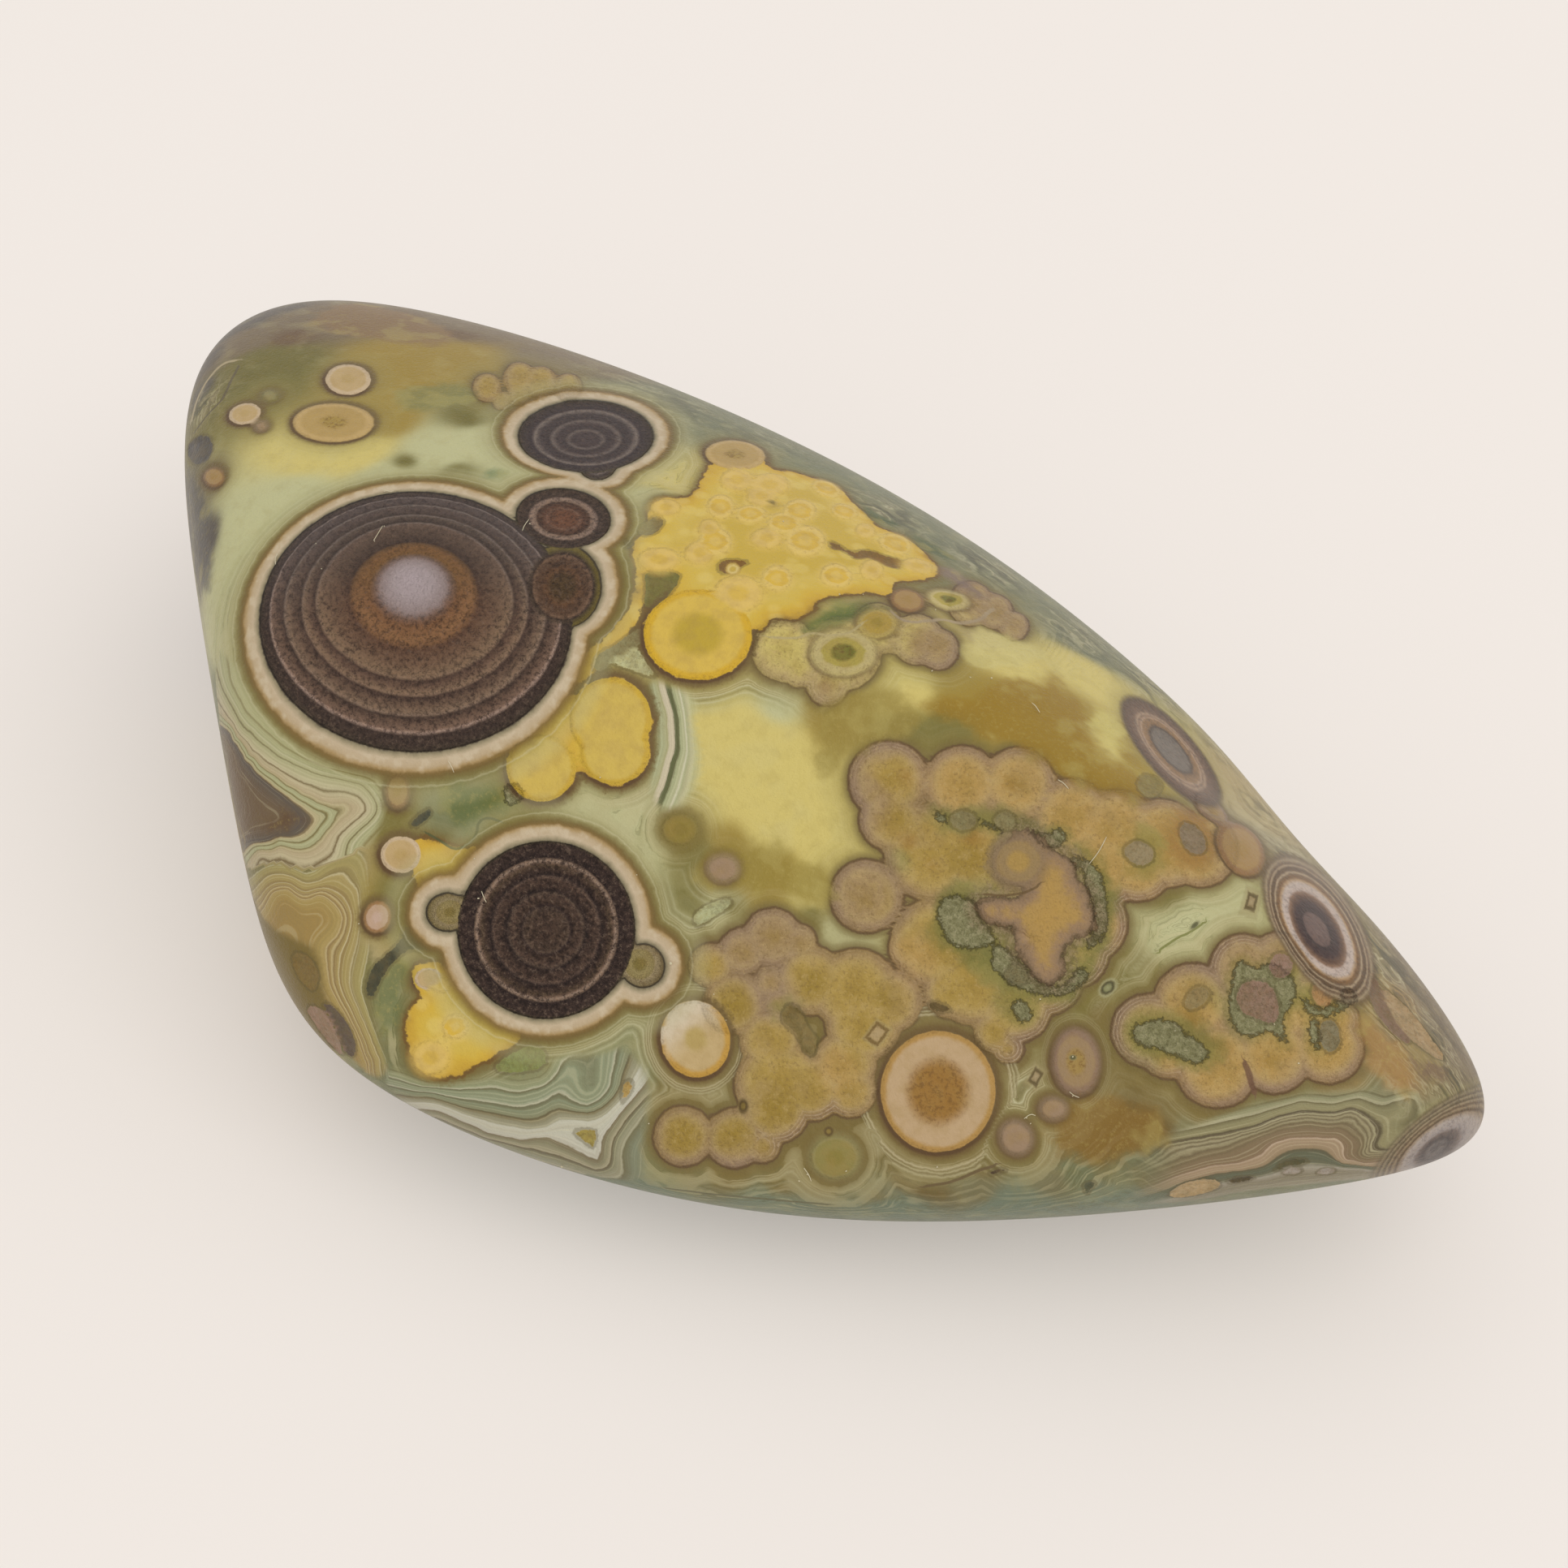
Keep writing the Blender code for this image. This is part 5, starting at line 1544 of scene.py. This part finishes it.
def eye(under, ring_number, stops, roughen, shake=0.012, speckle_and_shade=0.6):
    """Lays an eye's rings over a colour; velvet grain darkens and lightens them, with painted shade
    in the crackle's crevices and painted highlights on the velvet's lumps.
    """
    shaken = uneven(ring_number, shake, roughen)
    tone, cover = ladder(shaken, stops)
    speckled = blend(soft(velvet, 0.32, 0.72, 0.0, speckle_and_shade), tone, srgb(170, 148, 126), "SOFT_LIGHT")
    # Painted shade: dark specks in the crackle's crevices.
    speckled = tint(speckled, crackle, 0.52, 0.36, speckle_and_shade, (70, 55, 48))
    speckled = tint(speckled, crackle, 0.58, 0.74, 0.4 * speckle_and_shade, (160, 138, 118))
    speckled = blend(soft(velvet, 0.49, 0.40, 0.0, speckle_and_shade), speckled, srgb(172, 160, 154), "MULTIPLY")
    # Painted highlights: pale specks on the velvet's lumps.
    speckled = tint(speckled, velvet, 0.53, 0.66, 0.30 * speckle_and_shade, (172, 150, 132))
    return blend(cover, under, speckled)


# The great eye's rings come in two copies: lighter below its core, a painted sheen on the velvet, and darker
# above it, painted shade.
GREAT_LIT_LOW_RINGS = ((0.0, (176, 158, 158)), (0.2, (172, 154, 150)), (0.25, (140, 112, 96)),
    (0.285, (146, 108, 76)), (0.36, (160, 122, 86)), (0.395, (148, 112, 80)), (0.42, (116, 88, 70)),
    (0.5, (134, 108, 88)), (0.565, (152, 128, 104)), (0.585, (158, 134, 112)), (0.6, (98, 78, 68)),
    (0.635, (128, 104, 88)), (0.665, (152, 128, 106)), (0.68, (156, 132, 112)), (0.692, (92, 74, 66)),
    (0.74, (126, 104, 88)), (0.78, (150, 128, 108)), (0.793, (160, 138, 120)), (0.808, (88, 72, 64)),
    (0.84, (120, 98, 84)), (0.88, (144, 120, 104)), (0.895, (186, 162, 148)), (0.912, (80, 66, 60)),
    (0.96, (84, 70, 62)), (1.0, (82, 72, 60)), (1.01, (82, 72, 60), 0))
GREAT_SHADED_HIGH_RINGS = ((0.0, (172, 152, 152)), (0.2, (168, 150, 148)), (0.25, (134, 112, 98)),
    (0.285, (140, 106, 68)), (0.36, (144, 108, 72)), (0.395, (126, 98, 70)), (0.42, (84, 68, 60)),
    (0.5, (110, 92, 80)), (0.57, (126, 106, 94)), (0.585, (140, 124, 114)), (0.605, (84, 72, 66)),
    (0.64, (104, 90, 82)), (0.668, (118, 104, 94)), (0.68, (140, 126, 118)), (0.7, (90, 78, 72)),
    (0.74, (108, 94, 88)), (0.785, (116, 102, 96)), (0.797, (144, 132, 124)), (0.815, (94, 82, 78)),
    (0.84, (108, 96, 92)), (0.885, (112, 100, 96)), (0.9, (154, 140, 134)), (0.918, (88, 78, 74)),
    (0.96, (98, 86, 82)), (1.0, (92, 82, 72)), (1.01, (92, 82, 72), 0))
LOWER_RINGS = ((0.0, (88, 70, 60)), (0.23, (94, 78, 66)), (0.255, (108, 92, 80)), (0.28, (62, 48, 46)),
    (0.32, (84, 68, 58)), (0.395, (98, 80, 70)), (0.42, (110, 94, 82)), (0.45, (58, 46, 44)),
    (0.5, (82, 66, 58)), (0.575, (94, 76, 66)), (0.6, (112, 94, 84)), (0.63, (58, 46, 44)),
    (0.68, (78, 62, 54)), (0.735, (98, 82, 66)), (0.76, (124, 104, 90)), (0.785, (174, 154, 138)),
    (0.805, (150, 130, 114)), (0.825, (60, 48, 46)), (0.9, (72, 58, 53)), (0.97, (76, 62, 56)),
    (1.0, (84, 76, 58)), (1.01, (84, 76, 58), 0))
UPPER_RINGS = ((0.0, (98, 86, 86)), (0.2, (94, 82, 82)), (0.26, (130, 118, 112)), (0.31, (88, 78, 78)),
    (0.42, (92, 80, 80)), (0.5, (134, 122, 116)), (0.55, (86, 76, 76)), (0.68, (92, 82, 82)),
    (0.76, (148, 136, 128)), (0.81, (82, 72, 74)), (0.97, (90, 80, 74)), (1.0, (96, 88, 68)),
    (1.03, (96, 88, 68), 0))
SMALL_RINGS = ((0.0, (138, 96, 72)), (0.3, (126, 90, 70)), (0.36, (142, 110, 92)), (0.42, (112, 82, 66)),
    (0.56, (98, 76, 64)), (0.61, (160, 138, 122)), (0.7, (168, 146, 132)), (0.76, (88, 74, 66)),
    (0.97, (90, 76, 66)), (1.0, (92, 82, 62)), (1.03, (92, 82, 62), 0))
SLOPE_RINGS = ((0.0, (122, 114, 104)), (0.38, (118, 110, 100)), (0.44, (84, 72, 60)), (0.5, (136, 108, 74)),
    (0.6, (150, 122, 88)), (0.64, (172, 148, 126)), (0.68, (142, 118, 96)), (0.72, (166, 144, 122)),
    (0.78, (124, 102, 84)), (0.94, (106, 86, 70)), (1.02, (102, 86, 66)), (1.14, (108, 92, 66), 0))
RIGHT_RINGS = ((0.0, (120, 102, 96)), (0.24, (112, 94, 88)), (0.27, (70, 58, 56)), (0.4, (78, 62, 60)),
    (0.48, (110, 86, 70)), (0.53, (140, 114, 94)), (0.57, (188, 172, 162)), (0.66, (192, 178, 168)),
    (0.71, (176, 150, 118)), (0.745, (130, 100, 66)), (0.79, (124, 102, 76)), (0.82, (174, 156, 130)),
    (0.85, (112, 92, 70)), (0.89, (104, 86, 64)), (0.92, (166, 148, 122)), (0.95, (114, 94, 72)),
    (1.0, (162, 146, 120), 0.9), (1.05, (112, 92, 70), 0.7), (1.14, (110, 90, 66), 0))
TIP_RINGS = ((0.0, (104, 100, 98)), (0.1, (124, 118, 114)), (0.17, (98, 92, 90)), (0.27, (122, 112, 106)),
    (0.33, (158, 150, 146)), (0.48, (172, 162, 154)), (0.56, (154, 138, 118)), (0.6, (100, 84, 64)),
    (0.66, (152, 136, 110)), (0.71, (106, 90, 70)), (0.76, (156, 142, 116)), (0.8, (104, 92, 70)),
    (0.86, (150, 138, 112)), (0.9, (106, 94, 74)), (0.96, (146, 134, 108), 0.8), (1.02, (110, 100, 78), 0.6),
    (1.12, (140, 130, 104), 0))
FOOT_RINGS = ((0.0, (98, 86, 84)), (0.62, (98, 86, 84)), (0.7, (144, 132, 124)), (0.78, (98, 86, 82)),
    (1.0, (96, 88, 68)), (1.04, (96, 88, 68), 0))
colour = eye(colour, foot_r, FOOT_RINGS, 0.02)
colour = eye(colour, upper_r, UPPER_RINGS, 0.03, speckle_and_shade=0.4)
colour = eye(colour, small_r, SMALL_RINGS, 0.03)
# Painted light and shade: the shaded copy of the rings above the core, the lit copy below.
shaded_upper_half = eye(colour, great_r, GREAT_SHADED_HIGH_RINGS, 0.02, speckle_and_shade=0.35)
lit_lower_half = eye(colour, great_r, GREAT_LIT_LOW_RINGS, 0.025, speckle_and_shade=0.6)
colour = blend(soft(great_low, -0.5, 0.5), shaded_upper_half, lit_lower_half)
core_edge = add(great_r, add(times(fine, 0.09), times(wobble, 0.02)))
core_tone, _ = ladder(great_r, [
    (0.0, (194, 178, 180)), (0.12, (186, 170, 170)), (0.2, (168, 150, 146)), (0.25, (150, 130, 122))])
colour = blend(soft(core_edge, 0.245, 0.19), colour, core_tone)
LOBE_RINGS = ((0.0, (96, 78, 52)), (0.3, (98, 78, 54)), (0.44, (122, 92, 68)), (0.54, (104, 80, 62)),
    (0.66, (112, 88, 70)), (0.74, (138, 112, 92)), (0.8, (82, 68, 58)), (0.86, (86, 74, 60), 0.6),
    (0.92, (88, 78, 60), 0))
colour = eye(colour, lobe_r, LOBE_RINGS, 0.03)
colour = eye(colour, lower_r, LOWER_RINGS, 0.035, speckle_and_shade=0.8)
colour = eye(colour, slope_r, SLOPE_RINGS, 0.02, 0.05, 0.4)
colour = eye(colour, right_r, RIGHT_RINGS, 0.012, 0.04, 0.3)
colour = eye(colour, tip_r, TIP_RINGS, 0.02, 0.04, 0.3)


def mark(under, x, y, half_x, half_y, turn_x, turn_y, boxy, stops):
    """A small sharp marking: its level is the larger share of the two half widths, or their root
    sum of squares, measured on the stone from the place under a pixel."""
    a, b = radians(turn_x), radians(turn_y)
    ways = np.array([[cos(a), sin(a)], [cos(b), sin(b)]])
    centre, one, two = on_skin([(x, y), *((x, y) + PROBE_PX * ways)])
    one, two = (one - centre) * half_x / PROBE_PX, (two - centre) * half_y / PROBE_PX
    dual = np.linalg.pinv(np.stack([one, two], -1))
    from_centre = tree.nodes.new("ShaderNodeVectorMath")
    from_centre.operation = "SUBTRACT"
    tree.links.new(in_mm, from_centre.inputs[0])
    from_centre.inputs[1].default_value = tuple(float(v) for v in centre)
    shares = []
    for axis in dual:
        share = tree.nodes.new("ShaderNodeVectorMath")
        share.operation = "DOT_PRODUCT"
        tree.links.new(from_centre.outputs[0], share.inputs[0])
        share.inputs[1].default_value = tuple(float(v) for v in axis)
        shares.append(share.outputs["Value"])
    if boxy:
        level = calc("MAXIMUM", calc("ABSOLUTE", shares[0]), calc("ABSOLUTE", shares[1]))
    else:
        level = calc("SQRT", add(times(shares[0], shares[0]), times(shares[1], shares[1])))
    tone, cover = ladder(add(level, times(fine, 0.5)), stops)
    return blend(cover, under, tone)


RHOMB = ((0.0, (180, 158, 118)), (0.62, (176, 152, 108)), (0.8, (132, 110, 66)), (0.98, (124, 100, 58), 0.9),
    (1.2, (168, 150, 104), 0.6), (1.5, (168, 150, 100), 0))
SMALL_RHOMB = ((0.0, (166, 148, 114)), (0.45, (152, 134, 98)), (0.75, (100, 86, 54)), (1.0, (108, 92, 58), 0.9),
    (1.3, (160, 146, 104), 0.6), (1.8, (140, 126, 86), 0.3), (2.1, (140, 126, 86), 0))
DARK_RING = ((0.0, (140, 120, 64)), (0.4, (132, 112, 58)), (0.8, (96, 78, 44)), (1.1, (104, 86, 50), 0.8),
    (1.7, (140, 124, 72), 0))
HOLE = ((0.0, (148, 148, 108)), (0.5, (134, 132, 92)), (0.85, (84, 80, 52)), (1.05, (92, 86, 56), 0.8),
    (1.35, (168, 164, 126), 0.6), (1.8, (160, 156, 116), 0))
DASH = ((0.0, (92, 92, 60)), (0.7, (96, 94, 62), 0.9), (1.5, (150, 150, 110), 0))
GOLD_HOLE = ((0.0, (196, 168, 74)), (0.4, (192, 164, 76)), (0.7, (212, 190, 124)), (1.0, (196, 168, 92), 0.9),
             (1.4, (140, 106, 44), 0))
# Each mark: x, y, half widths along its two ways, the ways' bearings in degrees, whether it is
# boxy, and its tones from the middle out.
MARKS = (
    (1081, 1274, 9, 12, 35, 127, True, RHOMB),
    (1276, 1327, 6, 9, 38, 118, True, SMALL_RHOMB),
    (1542, 1111, 6, 10, 20, 104, True, SMALL_RHOMB),
    (916, 1363, 5, 7, 0, 90, False, DARK_RING),
    (1021, 1394, 5, 5, 0, 90, False, DARK_RING),
    (1365, 1217, 9, 6, -45, 45, False, HOLE),
    (1472, 1140, 7, 3, -42, 48, False, DASH),
    (1322, 1303, 4, 3, 0, 90, False, DASH),
    (903, 700, 8, 7, 0, 90, False, GOLD_HOLE),
)
for settings in MARKS:
    colour = mark(colour, *settings)

in_eye = soft(border_d, -0.02, 0.03)
in_moss = soft(moss, -0.05, 0.05)
in_crust = soft(crust_d, -0.1, 0.1)
rough = add(add(0.36, times(in_eye, 0.22)), add(times(in_moss, 0.25), times(in_crust, 0.08)))
rough = add(rough, times(fine, 0.2))
COLOUR_DEPTH = 1.06
deeper = tree.nodes.new("ShaderNodeGamma")
tree.links.new(colour, deeper.inputs["Color"])
deeper.inputs["Gamma"].default_value = COLOUR_DEPTH
put(shader, "Base Color", deeper.outputs["Color"])
put(shader, "Roughness", rough)
shader.inputs["Specular IOR Level"].default_value = 0.22

# The fine grain stands up to a few hundredths of a millimetre, most in the eyes and the moss.
BUMP_METRES = 0.00008
bump = tree.nodes.new("ShaderNodeBump")
bump.inputs["Distance"].default_value = BUMP_METRES
bump.inputs["Strength"].default_value = 0.9
velvet_share = add(add(0.5, times(in_eye, 2.4)), times(in_crust, 0.9))
crackle_share = times(add(in_moss, times(in_eye, 0.9)), 2.4)
height = add(times(velvet, velvet_share), times(crackle, crackle_share))
height = add(height, add(soft(crust, -0.02, 0.15, 0.0, 0.5), soft(orb, -0.02, 0.1, 0.0, 0.5)))
put(bump, "Height", height)
tree.links.new(bump.outputs["Normal"], shader.inputs["Normal"])

stone.data.materials.append(agate)
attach(stone, "root")
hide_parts("agate_pebble")

# Dust and fibres.
# A few grains of pale dust and short, thin fibres lie loose on the skin. Each grain is a small
# eight-sided lump and each fibre a bent thread. The grains are rows of x, y, size in pixels.
DUST_PX = (474, 607, 2.2, 474, 650, 2.4, 462, 668, 2.0, 390, 671, 1.8, 397, 702, 2.0, 653, 647, 2.0, 827, 1187,
    4.2, 443, 1138, 2.4, 585, 1058, 2.2, 590, 1107, 2.4, 785, 1078, 2.0, 965, 644, 2.0, 1034, 734, 2.4, 1063,
    734, 2.4, 1152, 753, 2.0, 1191, 751, 2.0, 1148, 828, 2.4, 1195, 836, 2.4, 1221, 837, 2.4, 1265, 1377, 2.8,
    1270, 1384, 2.2, 1322, 1350, 2.6, 1155, 1437, 2.4, 1043, 1442, 2.8, 995, 1446, 2.8, 985, 1454, 2.2, 1282,
    1231, 3.0, 690, 1440, 2.6, 880, 1225, 2.0, 895, 1257, 2.0, 1322, 1302, 2.6, 800, 1384, 2.0, 740, 958, 2.0,
    1570, 1262, 2.4, 1600, 1310, 2.2, 1448, 1270, 2.0)
FIBRES_PX = ((1363, 1032, 1354, 1050, 1342, 1065), (1303, 962, 1310, 966, 1316, 973),
    (470, 604, 480, 608, 486, 607), (472, 650, 466, 660, 461, 668), (343, 684, 340, 690, 341, 697),
    (1270, 868, 1275, 872, 1280, 880), (553, 938, 557, 944, 560, 952), (652, 642, 646, 650, 644, 656),
    (1262, 1378, 1270, 1372, 1276, 1374), (1318, 1345, 1324, 1350, 1330, 1352),
    (991, 1438, 997, 1446, 1000, 1454), (594, 1098, 597, 1106, 600, 1112))
DUST_LIFT_MM = 0.04
FIBRE_LIFT_MM = 0.06
FIBRE_RADIUS_MM = 0.010
FIBRE_SIDES = 5
FIBRE_END_TURN = 0.15
grain_corners = np.array([[1, 0, 0], [-1, 0, 0], [0, 1, 0], [0, -1, 0], [0, 0, 1], [0, 0, -1]], float)
grain_faces = np.array([[0, 2, 4], [2, 1, 4], [1, 3, 4], [3, 0, 4], [2, 0, 5], [1, 2, 5], [3, 1, 5], [0, 3, 5]])
dust_lot = np.random.default_rng(11)
dust_points, dust_faces, dust_count = [], [], 0
for x, y, size_px in np.reshape(DUST_PX, (-1, 3)):
    spot = on_skin((x, y))[0]
    stretch = dust_lot.uniform(0.6, 1.3, 3) * 0.5 * size_px * MM_PER_PX
    lifted = spot + outward((spot - MIDDLE)[None])[0] * (DUST_LIFT_MM + 0.3 * stretch.min())
    dust_points.append(lifted + grain_corners * stretch)
    dust_faces += (grain_faces + dust_count).tolist()
    dust_count += len(grain_corners)
for bent in FIBRES_PX:
    spine = on_skin(rounded(bent, False))
    normal = outward(spine - MIDDLE)
    spine = spine + normal * FIBRE_LIFT_MM
    ahead = np.gradient(spine, axis=0)
    ahead /= np.linalg.norm(ahead, axis=1, keepdims=True)
    side = np.cross(ahead, normal)
    turn = np.linspace(0, 2 * np.pi, FIBRE_SIDES, endpoint=False)[None, :, None]
    along = np.linspace(FIBRE_END_TURN, np.pi - FIBRE_END_TURN, len(spine))[:, None, None]
    thinned = FIBRE_RADIUS_MM * np.sin(along) ** 0.3
    tube = spine[:, None] + thinned * (np.cos(turn) * side[:, None] + np.sin(turn) * normal[:, None])
    dust_points.append(tube.reshape(-1, 3))
    ring_row = np.arange(len(spine) - 1)[:, None] * FIBRE_SIDES + dust_count
    corner = np.arange(FIBRE_SIDES)[None]
    next_corner = (corner + 1) % FIBRE_SIDES
    tube_quads = np.stack([ring_row + corner, ring_row + next_corner, ring_row + FIBRE_SIDES + next_corner,
                           ring_row + FIBRE_SIDES + corner], -1)
    dust_faces += tube_quads.reshape(-1, 4).tolist()
    dust_faces.append([dust_count + k for k in range(FIBRE_SIDES)][::-1])
    dust_count += len(spine) * FIBRE_SIDES
    dust_faces.append([dust_count - FIBRE_SIDES + k for k in range(FIBRE_SIDES)])
dust = grid_object("dust_and_fibres", np.concatenate(dust_points), dust_faces)
pale_dust = plain_material("pale_dust", srgb(216, 208, 188), 0.8)
dust_nodes = pale_dust.node_tree.nodes
DUST_GRAIN_PER_METRE = 9000.0
dust_noise = dust_nodes.new("ShaderNodeTexNoise")
dust_noise.inputs["Scale"].default_value = DUST_GRAIN_PER_METRE
dust_place = dust_nodes.new("ShaderNodeTexCoord")
dust_tone = dust_nodes.new("ShaderNodeValToRGB")
dust_tone.color_ramp.elements[0].color = (*srgb(180, 168, 130), 1.0)
dust_tone.color_ramp.elements[1].color = (*srgb(222, 214, 190), 1.0)
pale_dust.node_tree.links.new(dust_place.outputs["Object"], dust_noise.inputs["Vector"])
pale_dust.node_tree.links.new(dust_noise.outputs[0], dust_tone.inputs[0])
pale_dust.node_tree.links.new(dust_tone.outputs[0], dust_nodes["Principled BSDF"].inputs["Base Color"])
dust.data.materials.append(pale_dust)
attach(dust, "root")
